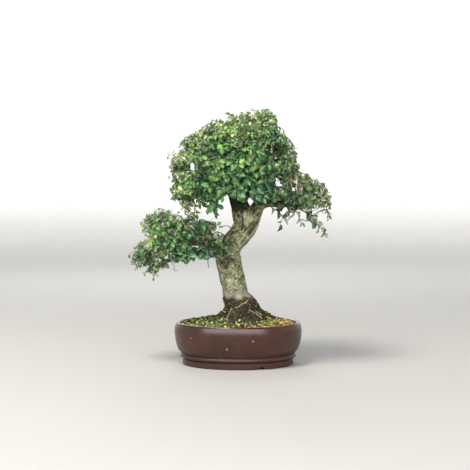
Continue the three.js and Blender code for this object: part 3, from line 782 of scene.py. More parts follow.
def tubeSkin(path, sides, points, faces, relief=None):
    first = len(points)
    for i, (t, n, b) in enumerate(framesAlong(path)):
        for k in range(sides):
            angle = full * k / sides
            reach = path[i][3] * (relief(angle, i / (len(path) - 1)) if relief else 1)
            points.append(path[i][:3] + n * reach * math.cos(angle) + b * reach * math.sin(angle))
    faces += bandFaces(len(path), sides, first)
    last = first + (len(path) - 1) * sides
    faces.append(tuple(range(first + sides - 1, first - 1, -1)))
    faces.append(tuple(range(last, last + sides)))


def corkRidges(angle, along):  # the trunk's long swellings
    coarse = math.sin(5 * angle + 9 * along) * math.sin(3 * angle - 14 * along + 1)
    return 1 + 0.04 * coarse + 0.02 * math.sin(9 * angle + 31 * along)


def sprayLine(limbPath, centre, radius):  # where a spray's branch leaves its limb and its shoots begin
    centre = np.array(centre, float)
    distances = np.linalg.norm(limbPath[:, :3] - centre, axis=1)
    steps = np.linalg.norm(np.diff(limbPath[:, :3], axis=0), axis=1)
    along = np.concatenate([[0], np.cumsum(steps)]) / steps.sum()
    nearest = int(np.argmin(distances))
    back = min(0.4, 0.35 * distances[nearest] / steps.sum())
    root = limbPath[int(np.argmin(np.abs(along - max(0.12, along[nearest] - back)))), :3]
    inward = unit(root - centre)
    if inward[2] < 0.3:
        inward[2] = min(inward[2], 0) - 0.35
    inward = unit(inward)
    core = np.array([radius, radius, 0.86 * radius]) * 0.46
    meet = centre + inward * (1 / np.linalg.norm(inward / core) + 9)
    return centre, root, inward, meet


limbPaths = {name: smoothPath(stations) for name, stations in limbs.items()}
sprays = {}
for group, (limb, spots) in sprayPlan.items():
    for number, (x, y, z, r) in enumerate(spots):
        sprays[f"spray_{group}_{number + 1}"] = (group, r) + sprayLine(limbPaths[limb], (x, y, z), r)

barkPaths = [smoothPath(trunk["path"])] + list(limbPaths.values()) + [smoothPath(stub)]
for degrees, reach, r in roots:
    c, s = math.cos(math.radians(degrees)), math.sin(math.radians(degrees))
    barkPaths.append(smoothPath([
        (baseX + 18 * c, 18 * s, 128, r), (baseX + 40 * c, 40 * s, 111, r),
        (baseX + 0.72 * reach * c, 0.72 * reach * s, 100, 0.72 * r),
        (baseX + reach * c, reach * s, 87, 0.45 * r)]))
for group, r, centre, root, inward, meet in sprays.values():
    length = np.linalg.norm(root - meet)
    thick = min(6, 3.6 + 0.02 * length)
    beforeTip = meet + inward * 0.22 * length
    middle = root + (beforeTip - root) * 0.55 + up * 0.04 * length
    barkPaths.append(smoothPath([(*root, thick), (*middle, 0.75 * thick), (*beforeTip, 0.5 * thick),
                                 (*meet, 1.8)]))

barkPoints, barkFaces = [], []
for index, path in enumerate(barkPaths):
    sides = 28 if index == 0 else 16 if path[0][3] > 7 else 10
    tubeSkin(path, sides, barkPoints, barkFaces, corkRidges if index == 0 else None)

# cork oak bark: grey-green corky skin with dark flecks, browner and streaked above the bend, with the
# crown's shadow painted almost black on it, painted shade in its grooves and hollows, and peaty brown
# with a pinkish worn ring at the foot
bark, tree, surface, where = newFinish("corkBark", Roughness=0.9, IOR=1.4)
height = addNode(tree, "ShaderNodeSeparateXYZ", inputs={"Vector": where}).outputs["Z"]
along = addNode(tree, "ShaderNodeAttribute", {"attribute_name": "barkPoint"}).outputs["Vector"]
crack = addNode(tree, "ShaderNodeAttribute", {"attribute_name": "crack"}).outputs["Fac"]
worn = addNode(tree, "ShaderNodeAttribute", {"attribute_name": "worn"}).outputs["Fac"]
upper = addNode(tree, "ShaderNodeMapRange", inputs={"Value": height, "From Min": 0.245, "From Max": 0.29})
stretched = addNode(tree, "ShaderNodeMapping", inputs={"Vector": along, "Scale": (1, 1, 0.45)})
spotted = addNode(tree, "ShaderNodeTexNoise", inputs={
    "Vector": along, "Scale": perMetre(4.2), "Detail": 6.0, "Roughness": 0.82, "Distortion": 0.6})
streaked = addNode(tree, "ShaderNodeTexNoise", inputs={
    "Vector": stretched, "Scale": perMetre(5), "Detail": 6.0, "Roughness": 0.8})
fine = addNode(tree, "ShaderNodeMix", {"data_type": "FLOAT"}, {0: upper, 2: spotted, 3: streaked})
blotches = addNode(tree, "ShaderNodeTexNoise", inputs={"Vector": along, "Scale": perMetre(13), "Detail": 3.0})
blotched = addNode(tree, "ShaderNodeMapRange", inputs={
    "Value": blotches, "From Min": 0.35, "From Max": 0.65, "To Min": -0.06, "To Max": 0.04})
flecks = addNode(tree, "ShaderNodeMath", {"operation": "ADD"}, {0: fine, 1: blotched})
cork = addNode(tree, "ShaderNodeValToRGB", {"stops": [
    (0.37, "#22221a"), (0.44, "#4d5037"), (0.5, "#878c68"), (0.56, "#b2b78f"), (0.66, "#dadfc0")]},
    {"Fac": flecks})
oldCork = addNode(tree, "ShaderNodeValToRGB", {"stops": [
    (0.36, "#201f14"), (0.45, "#525236"), (0.53, "#8f936a"), (0.61, "#b2b58c"), (0.72, "#cdd0aa")]},
    {"Fac": flecks})
twoBarks = addNode(tree, "ShaderNodeMix", {"data_type": "RGBA"}, {0: upper, 6: cork, 7: oldCork})
patches = addNode(tree, "ShaderNodeTexNoise", inputs={"Vector": along, "Scale": perMetre(24), "Detail": 3.0})
lichen = addNode(tree, "ShaderNodeMapRange", inputs={
    "Value": patches, "From Min": 0.52, "From Max": 0.7, "To Max": 0.55})
licheny = addNode(tree, "ShaderNodeMix", {"data_type": "RGBA"},
                  {0: lichen, 6: twoBarks, 7: linear("#adb394")})
# paler bark colour along the seam and on the pale spots, which are raised a little
paleMarked = addNode(tree, "ShaderNodeMix", {"data_type": "RGBA"}, {0: worn, 6: licheny, 7: linear("#b9b68f")})
# the dark crack colour also paints shade into the grooves and hollows
crackedAndShaded = addNode(tree, "ShaderNodeMix", {"data_type": "RGBA"}, {0: crack, 6: paleMarked, 7: linear("#29261a")})
uneven = addNode(tree, "ShaderNodeMath", {"operation": "MULTIPLY_ADD"}, {0: patches, 1: 0.03, 2: height})
ring = addNode(tree, "ShaderNodeMapRange", inputs={
    "Value": uneven, "From Min": 0.184, "From Max": 0.172, "To Max": 0.55})
ringed = addNode(tree, "ShaderNodeMix", {"data_type": "RGBA"}, {0: ring, 6: crackedAndShaded, 7: linear("#9a8d84")})
foot = addNode(tree, "ShaderNodeMapRange", inputs={"Value": uneven, "From Min": 0.168, "From Max": 0.158})
mossy = addNode(tree, "ShaderNodeValToRGB", {"stops": [
    (0.38, "#12100b"), (0.48, "#2a251a"), (0.57, "#4d4632"), (0.68, "#837c5d")]}, {"Fac": spotted})
footed = addNode(tree, "ShaderNodeMix", {"data_type": "RGBA"}, {0: foot, 6: ringed, 7: mossy})
# painted shadow: the bark turns almost black where the crown shades it
shaded = addNode(tree, "ShaderNodeAttribute", {"attribute_name": "shaded"}).outputs["Fac"]
crownShadowed = addNode(tree, "ShaderNodeMix", {"data_type": "RGBA"}, {0: shaded, 6: footed, 7: linear("#1d1a14")})
roughBark = addNode(tree, "ShaderNodeBump", inputs={"Strength": 0.8, "Distance": 0.0012, "Height": flecks})
feed(surface, {"Base Color": crownShadowed, "Normal": roughBark})

barkSkin = newPiece("barkSkin", barkPoints, barkFaces, [bark])
remesh = barkSkin.modifiers.new("oneSkin", "REMESH")
remesh.mode = "VOXEL"
remesh.voxel_size = trunk["voxel"] * mm
soften = barkSkin.modifiers.new("soften", "SMOOTH")
soften.factor = 0.5
soften.iterations = trunk["smoothing"]
settle(barkSkin)

# each skin point's nearest limb station gives the line that cracks and plates follow
axisSpots, axisFrames, axisAlong = [], [], []
for index, path in enumerate(barkPaths):
    steps = np.concatenate([[0], np.cumsum(np.linalg.norm(np.diff(path[:, :3], axis=0), axis=1))])
    for i, frameHere in enumerate(framesAlong(path)):
        axisSpots.append(path[i])
        axisFrames.append(frameHere)
        axisAlong.append(steps[i] + 137 * index)
finder = kdtree.KDTree(len(axisSpots))
for i, spot in enumerate(axisSpots):
    finder.insert(Vector(spot[:3]), i)
finder.balance()


def barkPointOf(spot):  # place across and along its limb, and the limb's radius there
    best, share = 0, 1e9
    for _, i, distance in finder.find_n(Vector(spot), 14):
        ratio = distance / axisSpots[i][3]
        if ratio < share:
            best, share = i, ratio
    t, n, b = axisFrames[best]
    offset = spot - axisSpots[best][:3]
    across = Vector((float(offset @ n), float(offset @ b), axisAlong[best] + float(offset @ t)))
    return across, axisSpots[best][3]


def toLine(x, z, line):  # distance to a broken line
    here, best = np.array([x, z]), 1e9
    for start, end in zip(line, line[1:]):
        start, end = np.array(start, float), np.array(end, float)
        share = np.clip((here - start) @ (end - start) / ((end - start) @ (end - start)), 0, 1)
        best = min(best, float(np.linalg.norm(here - start - (end - start) * share)))
    return best


def flank(spot):
    start, over, middle, reach = trunk["flankAt"]
    return min(1, max(0, (spot[0] - start) / over)) * math.exp(-((spot[2] - middle) / reach) ** 2)


def barkMarks(spot, normal):  # groove with its painted shade, paleness, and the hollows' painted shade, for the marks that the front shows
    low, high, aside = trunk["marksWithin"]
    if normal[1] > -0.1 or spot[2] < low or spot[2] > high or abs(spot[0]) > aside:
        return 0.0, 0.0, 0.0
    x, z = seenAt(*spot)
    groove = max(math.exp(-(toLine(x, z, line) / reach) ** 2) for line, reach in trunk["grooves"])
    line, reach = trunk["seam"]
    pale = 0.9 * math.exp(-(toLine(x, z, line) / reach) ** 2)
    for px, pz, reach in trunk["paleSpots"]:
        pale = max(pale, 0.8 * math.exp(-((x - px) ** 2 + (z - pz) ** 2) / reach ** 2))
    dark = max(math.exp(-((x - px) ** 2 + (z - pz) ** 2) / reach ** 2) for px, pz, reach in trunk["hollows"])
    return groove, pale, dark


skinPoints = vertexValues(barkSkin, "co")
normals = vertexValues(barkSkin, "normal")
barkPointValues = np.empty_like(skinPoints)
crackAndShadeValues = np.empty(len(skinPoints))
paleMarkValues = np.empty(len(skinPoints))
shadedValues = np.empty(len(skinPoints))
leftShadowFrom, rightShadowFrom = trunk["shadowFrom"]
for v, spot in enumerate(skinPoints):
    q, girth = barkPointOf(spot)
    barkPointValues[v] = q
    warp = noise.noise_vector(q / trunk["warpSize"]) * trunk["warp"]
    line = Vector((q.x, q.y, q.z * trunk["stretch"])) + warp
    coarse = abs(noise.noise(line / trunk["crackSpacing"]))
    fine = abs(noise.noise(line / trunk["pitSpacing"] + Vector((9, 3, 5))))
    patchy = max(0.0, min(1.0, 0.5 + 2.2 * noise.noise(q / trunk["patchSpacing"] + Vector((31, 0, 0)))))
    grooves = patchy * math.exp(-(coarse / 0.1) ** 2)
    pits = (1 - 0.6 * patchy) * math.exp(-(fine / 0.07) ** 2)
    plates = noise.noise(line / trunk["plateSpacing"] + Vector((0, 7, 0))) + 0.5 * noise.noise(q / 5)
    size = min(1.0, girth / 22)
    footShare = min(1, max(0, (trunk["clodsBelow"] - spot[2]) / 20))
    clods = noise.noise(Vector(spot) / 9) + 0.6 * noise.noise(Vector(spot) / 4)
    grooveAndShade, pale, dark = barkMarks(spot, normals[v])
    cracking = (0.6 * grooves + 0.5 * pits) * min(1, girth / 14)
    # the bark's cracks, with painted shade in the grooves and hollows
    crackAndShadeValues[v] = min(1, cracking + 0.85 * grooveAndShade + 0.8 * dark)
    paleMarkValues[v] = pale * (0.75 + 0.25 * noise.noise(q / 3))
    # painted shadow of the crown: the bark darkens above these heights
    shadowEdge = (leftShadowFrom if spot[0] < trunk["shadowSplit"] else rightShadowFrom) + 9 * noise.noise(q / 7)
    shadedValues[v] = 0.9 * min(1, max(0, (spot[2] - shadowEdge) / 12))
    lift = trunk["plateRise"] * plates * size - trunk["crackDepth"] * size * grooves - 0.6 * size * pits
    lift += 3.0 * footShare * clods - 1.8 * grooveAndShade - 1.2 * dark + 0.5 * pale
    lift -= trunk["rightFlank"] * flank(spot)
    skinPoints[v] = spot + normals[v] * lift
barkSkin.data.vertices.foreach_set("co", toFrame(skinPoints).ravel())
addValues(barkSkin.data, "barkPoint", barkPointValues * mm, "FLOAT_VECTOR")
addValues(barkSkin.data, "crack", crackAndShadeValues)
addValues(barkSkin.data, "worn", paleMarkValues)
addValues(barkSkin.data, "shaded", shadedValues)
barkSkin.data.shade_smooth()
barkSkin.data.update()
attach(barkSkin, "bark", "tree")
print("bark skin:", len(barkSkin.data.polygons), "faces")

# thin roots bared over the front of the mound, on lines of x and z that the camera sees, with their radius
paleRoots = [
    ([(21, 138.4), (14.5, 132.4), (8.5, 130.6), (1.7, 124.8), (-6, 121.6)], 1.75),
    ([(-13.4, 120.5), (-20.2, 107.2), (-25, 96.3)], 1.7),
    ([(23.5, 115.9), (35.5, 110.9), (45.4, 102.4), (51.5, 95)], 1.5),
    ([(37.9, 114.4), (52.6, 105.9)], 1.2),
    ([(-35, 115.9), (-27, 112)], 1.3),
]


def overRoot(spot):
    x, z = seenAt(*spot)
    return spot[1] < 0 and any(toLine(x, z, line) < 2.6 for line, _ in paleRoots)


# crumbs of peat, bits of litter and moss on the root flare
flare = {"top": 150, "crumbs": 2300, "crumbSize": (1.4, 3.6), "tufts": 620, "tuftSize": (2.0, 3.8)}
normals = vertexValues(barkSkin, "normal")
low = [v for v, spot in enumerate(skinPoints)
       if spot[2] < flare["top"] and normals[v][2] > -0.3 and spot[2] > soilHeight(spot[0], spot[1]) - 2]
rootLitter = Spots("tone", "damp", "litter")
for _ in range(flare["crumbs"]):
    v = rnd.choice(low)
    spot = skinPoints[v]
    if rnd.random() < (flare["top"] - spot[2]) / 22 and not overRoot(spot):
        size = rnd.uniform(*flare["crumbSize"])
        pale = rnd.random() < 0.16
        rootLitter.add(spot + normals[v] * size * 0.2, size, anyTurn(rnd),
                       rnd.uniform(0.9, 1) if pale else rnd.random() * 0.9, 0.0, 1.0)
for _ in range(flare["tufts"]):
    v = rnd.choice(low)
    spot = skinPoints[v]
    thick = noise.noise(Vector(spot) / 13 + Vector((4, 0, 0)))
    if thick > 0.05 and not overRoot(spot):
        lean = Vector(normals[v] + up * 0.6).to_track_quat("Z", "Y").to_euler()
        mossSpots.add(spot, rnd.uniform(*flare["tuftSize"]), tuple(lean), min(1, 0.25 + 1.1 * thick))
flareLitter = rootLitter.scatter("flareLitter", shapeSet("crumb", [stoneShape(s) for s in (4, 5, 6)]),
                                 gritStone, 6, smooth=True)
attach(flareLitter, "grit")
mossCount = len(mossSpots.places)
mossCushions = mossSpots.scatter("mossCushions", shapeSet("tuft", [tuftShape(s) for s in (1, 2, 3)]), moss, 9)
attach(mossCushions, "leaf")
print("foot:", mossCount, "tufts of moss")

# weathered root: dry pale wood that the rain has washed bare, with fine grain along it
rootWood, tree, surface, where = newFinish("weatheredRoot", Roughness=0.85, IOR=1.4)
streaks = addNode(tree, "ShaderNodeTexNoise", inputs={"Vector": where, "Scale": perMetre(2.5), "Detail": 4.0})
wood = addNode(tree, "ShaderNodeValToRGB", {"stops": [(0.3, "#5f573c"), (0.5, "#8f8767"), (0.7, "#b8b08d")]},
               {"Fac": streaks})
rise = addNode(tree, "ShaderNodeBump", inputs={"Strength": 0.5, "Distance": 0.0005, "Height": streaks})
feed(surface, {"Base Color": wood, "Normal": rise})
ground = hitTree(barkSkin, earthBed)
rootPoints, rootFaces = [], []
for line, thickness in paleRoots:
    stations = []
    for i, (x, z) in enumerate(line):
        place, normal = sightHit(ground, x, z)
        if place is not None:
            girth = thickness * (1 - 0.08 * i) * rnd.uniform(0.85, 1.15)
            proud = 0.55 * girth + (2.5 if place[2] < 108 else 0.4)
            stations.append((*(place + normal * proud), girth))
    tubeSkin(smoothPath(stations, 1.6), 10, rootPoints, rootFaces)
baredRoots = newPiece("baredRoots", rootPoints, rootFaces, [rootWood])
attach(baredRoots, "bark", "tree")

# foliage: each spray is a bundle of shoots with toothed leaves
foliage = {
    "shoots": 15, "lowShoots": {"left_low": 11, "right_low": 17}, "shootRadius": 0.85,
    "fewerShoots": {"spray_left_low_9": 8, "spray_left_low_10": 8, "spray_left_low_11": 7},
    "raggedness": 4.5,      # mm that shoots pass the edge by, or stay short of it
    "leastOutward": -0.75,  # no shoot turns back to the tree's heart more than this
    "scatter": 0.18, "outwardLean": 0.15, "shootReach": (0.85, 1.12),
    "growOn": 7, "growTimes": 3,   # mm by which shoots grow on where the edge is further out, and how often
    "innerLeaves": 30, "innerLeaf": 18, "innerTone": 0.25, "innerTwigs": 5,
    "innerSlack": 8,        # mm that inner leaves stay within the edge, closing the spray's heart
    "facing": (0.95, 0.45, 0.42),   # what turns a leaf: away from the heart, upwards and chance
    "leafTurn": 2.4,        # radians round the shoot from each leaf to the next
    "leafGap": 0.32,        # between the leaves of a shoot, as a share of their length
    "leafLength": 16, "age": 0.6, "smallLeaf": 12, "yellowShare": 0.006,
    "outsideBox": 0.025,    # how far the blades may pass the CAD's box, as a share of its sides
    "crownHeart": (0, 0, 400), "padHeart": (-120, 0, 225),
    # the crown's and the low left pad's edges as the camera sees them, x and z
    "crownEdge": [
        (-144, 358), (-152, 382), (-152, 403), (-147, 429), (-152, 450), (-144, 461), (-131, 479),
        (-126, 490), (-107, 498), (-84, 512), (-62, 527), (-55, 537), (-34, 548), (-18, 545), (-2, 540),
        (11, 550), (24, 555), (48, 558), (69, 553), (85, 545), (87, 527), (93, 513), (100, 498),
        (116, 490), (108, 484), (124, 474), (142, 461), (135, 453), (120, 443), (126, 430), (145, 419),
        (164, 409), (177, 408), (190, 398), (203, 382), (206, 366), (204, 343), (198, 322), (187, 329),
        (179, 343), (166, 345), (150, 343), (129, 340), (119, 343), (104, 350), (85, 358), (82, 346),
        (66, 342), (56, 340), (43, 343), (35, 356), (30, 366), (22, 366), (19, 351), (8, 353), (-2, 364),
        (-13, 366), (-23, 371), (-31, 369), (-44, 376), (-38, 358), (-36, 344), (-47, 329), (-55, 335),
        (-62, 350), (-73, 332), (-81, 356), (-91, 348), (-98, 318), (-108, 312), (-115, 330), (-120, 345),
        (-133, 350)],
    "padEdge": [
        (-240, 218), (-234, 235), (-224, 240), (-226, 258), (-212, 267), (-211, 291), (-213, 300),
        (-204, 317), (-194, 326), (-185, 335), (-182, 351), (-167, 354), (-154, 344), (-152, 333),
        (-138, 330), (-121, 322), (-94, 317), (-78, 320), (-76, 309), (-58, 309), (-41, 300), (-36, 288),
        (-40, 262), (-52, 240), (-65, 227), (-83, 227), (-94, 222), (-102, 232), (-117, 210), (-129, 217),
        (-140, 212), (-150, 225), (-165, 213), (-174, 205), (-180, 187), (-187, 198), (-209, 202),
        (-229, 204)],
    # gaps that the wall or a bare limb shows through: x, z, reach
    "gaps": [(26, 357, 6), (26, 345, 4), (-101, 435, 3), (-99, 427, 3), (82, 402, 4), (90, 394, 3),
             (-100, 267, 5), (84, 342, 7), (98, 342, 7)],
    # how the leaves grow here and there: x, z, reach, leaf length, age from 0 pale and new to 1 dark and old,
    # which also paints light at the top and shade lower down
    "growth": [
        (52, 544, 40, 9, 0.08), (-22, 538, 34, 10, 0.25), (-94, 511, 32, 11, 0.1),
        (-131, 446, 28, 13, 0.32), (-105, 474, 14, 15, 0.35), (4, 494, 24, 11, 0.42),
        (-62, 468, 26, 21, 0.68), (-29, 435, 22, 22, 0.62), (-35, 420, 8, 18, 0.4),
        (22, 457, 12, 18, 0.5), (-7, 402, 20, 24, 0.6), (59, 391, 20, 32, 0.85), (65, 490, 22, 18, 0.75),
        (102, 468, 22, 12, 0.5), (168, 369, 30, 15, 0.6), (131, 369, 18, 20, 0.85),
        (157, 310, 25, 14, 0.7), (-72, 380, 25, 21, 0.7), (-116, 380, 14, 14, 0.35),
        (-193, 304, 30, 11, 0.26), (-210, 223, 22, 13, 0.42), (-138, 282, 22, 16, 0.65),
        (-94, 245, 25, 27, 0.9), (-83, 297, 20, 20, 0.8), (-171, 343, 14, 14, 0.35)],
    # single shoots that hang free of the edge: depth, leaf length, age, then x and z along the shoot
    "hanging": {
        "spray_right_low_3": [
            (-35, 20, 0.85, [(66, 347), (80, 338), (92, 330), (97, 322), (92, 305)]),
            (-35, 18, 0.8, [(104, 346), (112, 338), (112, 328)]),
            (-30, 18, 0.8, [(122, 345), (128, 332), (134, 320), (140, 310)])],
        "spray_right_low_2": [
            (-25, 18, 0.8, [(140, 345), (152, 332), (163, 320), (170, 308), (182, 296), (188, 288)]),
            (-10, 16, 0.75, [(192, 345), (196, 332), (196, 322)])],
        "spray_left_low_11": [
            (-46, 14, 0.47, [(-54, 262), (-42, 266), (-29, 267), (-16, 268), (-5, 266)]),
            (-50, 15, 0.5, [(-52, 257), (-40, 256), (-30, 252), (-21, 250)]),
            (-44, 14, 0.45, [(-50, 267), (-36, 274), (-23, 277)]),
            (-54, 15, 0.5, [(-52, 263), (-42, 262), (-32, 262)]),
            (-42, 14, 0.48, [(-40, 258), (-30, 260), (-20, 259)]),
            (-52, 15, 0.5, [(-46, 268), (-36, 268), (-28, 272)]),
            (-50, 14, 0.46, [(-54, 270), (-46, 276), (-38, 280)])],
        "spray_left_low_9": [
            (-20, 12, 0.4, [(-84, 300), (-70, 306), (-54, 306), (-40, 302)])],
        "spray_left_low_1": [
            (0, 12, 0.4, [(-205, 240), (-218, 231), (-230, 223)]),
            (-12, 12, 0.5, [(-200, 234), (-210, 220), (-222, 210)]),
            (-8, 11, 0.35, [(-206, 252), (-220, 246), (-228, 240)])],
        "spray_left_low_8": [
            (-10, 12, 0.45, [(-176, 216), (-181, 203), (-184, 190)]),
            (0, 11, 0.4, [(-180, 214), (-192, 204), (-204, 200)])],
        "spray_left_crown_3": [
            (-14, 14, 0.22, [(-112, 366), (-108, 348), (-106, 332), (-100, 316)]),
            (-24, 13, 0.3, [(-100, 362), (-94, 344), (-90, 322)]),
            (-8, 13, 0.3, [(-124, 366), (-120, 350), (-116, 334)])],
        "spray_left_crown_5": [
            (-62, 22, 0.75, [(-50, 376), (-48, 358), (-45, 340), (-46, 330)]),
            (-56, 18, 0.65, [(-60, 378), (-61, 360), (-65, 340)]),
            (-60, 15, 0.5, [(-76, 374), (-80, 360), (-82, 350)])],
    },
}


def insideEdge(edge, x, z):
    inside = False
    for (x0, z0), (x1, z1) in zip(edge, edge[1:] + edge[:1]):
        if (z0 > z) != (z1 > z) and x < x0 + (z - z0) * (x1 - x0) / (z1 - z0):
            inside = not inside
    return inside


def inFoliage(spot, slack=0.0):  # slack lets a shoot pass the edge or keeps it short of it
    x, z = seenAt(*spot)
    heartX, heartZ = foliage["padHeart" if x < -40 and z < 352 else "crownHeart"][::2]
    share = slack / max(1, math.hypot(heartX - x, heartZ - z))
    x, z = x + (heartX - x) * share, z + (heartZ - z) * share
    return insideEdge(foliage["crownEdge"], x, z) or insideEdge(foliage["padEdge"], x, z)


def inGap(spot, size):  # a leaf here would close one of the gaps
    x, z = seenAt(*spot)
    return any(math.hypot(x - gx, z - gz) < reach + 0.3 * size for gx, gz, reach in foliage["gaps"])


boxLow, boxHigh = ((np.array(corner) - potMiddle) / mm for corner in cadBox)
boxSpare = (boxHigh - boxLow) * foliage["outsideBox"]


def inReach(spot, spare=0.0):
    return bool(np.all(spot > boxLow - boxSpare + spare) and np.all(spot < boxHigh + boxSpare - spare))


def growthAt(spot):  # leaf length and age in this part of the foliage; the age also paints light on the crown's top and shade below
    x, z = seenAt(*spot)
    weights, lengths, agesAndLight = [0.35], [foliage["leafLength"]], [foliage["age"]]
    for gx, gz, reach, length, age in foliage["growth"]:
        weights.append(30 / reach * math.exp(-((x - gx) ** 2 + (z - gz) ** 2) / reach ** 2))
        lengths.append(length)
        agesAndLight.append(age)
    return float(np.average(lengths, weights=weights)), float(np.average(agesAndLight, weights=weights))


def leafShape(teeth, wide, fullness, bend, rib):  # a toothed oval blade one unit long, thin and closed
    edge = [(0.0, 0.025), (0.13, 0.03)]
    for k in range(teeth):
        for part, reach in ((0.35, 1.04), (0.95, 0.8)):
            t = 0.16 + 0.78 * (k + part) / teeth
            belly = math.sin(math.pi * min(1, (t - 0.1) / 0.93) ** fullness) ** 0.74
            edge.append((t, wide * reach * belly))

    def at(t, across, under=0.0):
        wave = 0.03 * math.sin(9 * t + (3 if across > 0 else 0)) * (abs(across) > 0.1)
        return (across, t, 0.5 * abs(across) - bend * t * t - under + wave)

    count, ribs = len(edge), len(rib)
    points = [(0, 0, 0), (0, 1, -bend)]
    points += [at(t, w) for t, w in edge] + [at(t, -w) for t, w in edge]
    points += [at(t, 0) for t in rib] + [at(t, 0, 0.022) for t in rib]
    right, left = (list(range(2 + k * count, 2 + (k + 1) * count)) for k in (0, 1))
    above, below = (list(range(2 + 2 * count + k * ribs, 2 + 2 * count + (k + 1) * ribs)) for k in (0, 1))
    heights = [t for t, _ in edge] + [1.0]
    spineHeights = [0.0] + list(rib) + [1.0]
    faces, under = [], []
    for middle, flip in ((above, False), (below, True)):
        for border, mirrored in ((right, False), (left, True)):
            chain = border + [1]
            spine = [0] + middle + [1]
            i = j = 0
            while i < count or j < ribs:
                if j >= ribs or (0 < j and i < count and heights[i + 1] <= spineHeights[j + 1]):
                    triangle = (spine[j], chain[i], chain[i + 1])
                    i += 1
                else:
                    triangle = (spine[j], chain[i], spine[j + 1])
                    j += 1
                if len(set(triangle)) == 3:
                    faces.append(triangle[::-1] if flip != mirrored else triangle)
                    under.append(1.0 if flip else 0.0)
    return points, faces, under


def leafSet():  # three full leaves of 52 faces and two plainer small ones of 28
    shapes = bpy.data.collections.new("leafShapes")
    manyRibs, fewRibs = (0.13, 0.32, 0.52, 0.72, 0.9), (0.3, 0.65)
    plans = ((4, 0.38, 0.84, 0.16, manyRibs), (4, 0.44, 0.8, 0.22, manyRibs),
             (5, 0.34, 0.88, 0.12, manyRibs), (2, 0.36, 0.85, 0.14, fewRibs), (2, 0.42, 0.8, 0.2, fewRibs))
    for index, plan in enumerate(plans):
        points, faces, under = leafShape(*plan)
        mesh = bpy.data.meshes.new(f"leafShape{index}")
        mesh.from_pydata(points, [], faces)
        addValues(mesh, "under", under, domain="FACE")
        addValues(mesh, "isLeaf", [1.0] * len(faces), domain="FACE")
        across = mesh.uv_layers.new(name="leafMap")
        for loop in mesh.loops:
            spot = mesh.vertices[loop.vertex_index].co
            across.data[loop.index].uv = (spot.x, spot.y)
        mesh.shade_smooth()
        shapes.objects.link(bpy.data.objects.new(f"leafShape{index}", mesh))
    return shapes


# oak leaf: leathery, satin above with paler veins, dull grey-green below
leaf, tree, surface, where = newFinish("leatheryLeaf", IOR=1.45)
tone = addNode(tree, "ShaderNodeAttribute", {"attribute_name": "tone"}).outputs["Fac"]
under = addNode(tree, "ShaderNodeAttribute", {"attribute_name": "under"}).outputs["Fac"]
leafUv = addNode(tree, "ShaderNodeUVMap", {"uv_map": "leafMap"})
parts = addNode(tree, "ShaderNodeSeparateXYZ", inputs={"Vector": leafUv})
away = addNode(tree, "ShaderNodeMath", {"operation": "ABSOLUTE"}, {0: parts.outputs["X"]})
midrib = addNode(tree, "ShaderNodeMapRange", inputs={"Value": away, "From Min": 0.03, "From Max": 0.012})
slant = addNode(tree, "ShaderNodeMath", {"operation": "MULTIPLY_ADD"},
                {0: away, 1: -0.9, 2: parts.outputs["Y"]})
veinWave = addNode(tree, "ShaderNodeMath", {"operation": "PINGPONG"}, {0: slant, 1: 0.065})
veins = addNode(tree, "ShaderNodeMapRange", inputs={
    "Value": veinWave, "From Min": 0.012, "From Max": 0.004, "To Max": 0.3})
veined = addNode(tree, "ShaderNodeMath", {"operation": "MAXIMUM"}, {0: midrib, 1: veins})
mottle = addNode(tree, "ShaderNodeTexNoise", inputs={"Vector": where, "Scale": perMetre(7), "Detail": 2.0})
toneShift = addNode(tree, "ShaderNodeMath", {"operation": "MULTIPLY_ADD"}, {0: mottle, 1: 0.16, 2: tone})
green = addNode(tree, "ShaderNodeValToRGB", {"stops": [
    (0.04, "#cfb462"), (0.12, "#d3e0a1"), (0.32, "#97b768"), (0.52, "#64914b"), (0.74, "#417344"),
    (1.0, "#2f5941")]}, {"Fac": toneShift})
ribTint = addNode(tree, "ShaderNodeMix", {"data_type": "RGBA"}, {0: 0.45, 6: green, 7: linear("#c5d0a0")})
ribbed = addNode(tree, "ShaderNodeMix", {"data_type": "RGBA"}, {0: veined, 6: green, 7: ribTint})
felted = addNode(tree, "ShaderNodeMix", {"data_type": "RGBA"}, {0: under, 6: ribbed, 7: linear("#9aa98a")})
shine = addNode(tree, "ShaderNodeMapRange", inputs={"Value": under, "To Min": 0.34, "To Max": 0.8})
veinRise = addNode(tree, "ShaderNodeBump", inputs={"Strength": 0.3, "Distance": 0.0003, "Height": veined})
feed(surface, {"Base Color": felted, "Roughness": shine, "Normal": veinRise})

# young twig: thin smooth skin, reddish brown while it carries leaves, grey-brown and paler once bare
twigBark, tree, surface, where = newFinish("youngTwigBark", Roughness=0.7, IOR=1.4)
tone = addNode(tree, "ShaderNodeAttribute", {"attribute_name": "tone"}).outputs["Fac"]
age = addNode(tree, "ShaderNodeTexNoise", inputs={"Vector": where, "Scale": perMetre(18), "Detail": 3.0})
weathered = addNode(tree, "ShaderNodeMath", {"operation": "MULTIPLY_ADD"}, {0: age, 1: 0.3, 2: tone})
skinTint = addNode(tree, "ShaderNodeValToRGB", {"stops": [
    (0.35, "#3a2b20"), (0.7, "#5c4a37"), (0.85, "#85775a"), (1.0, "#b5a981")]}, {"Fac": weathered})
feed(surface, {"Base Color": skinTint})


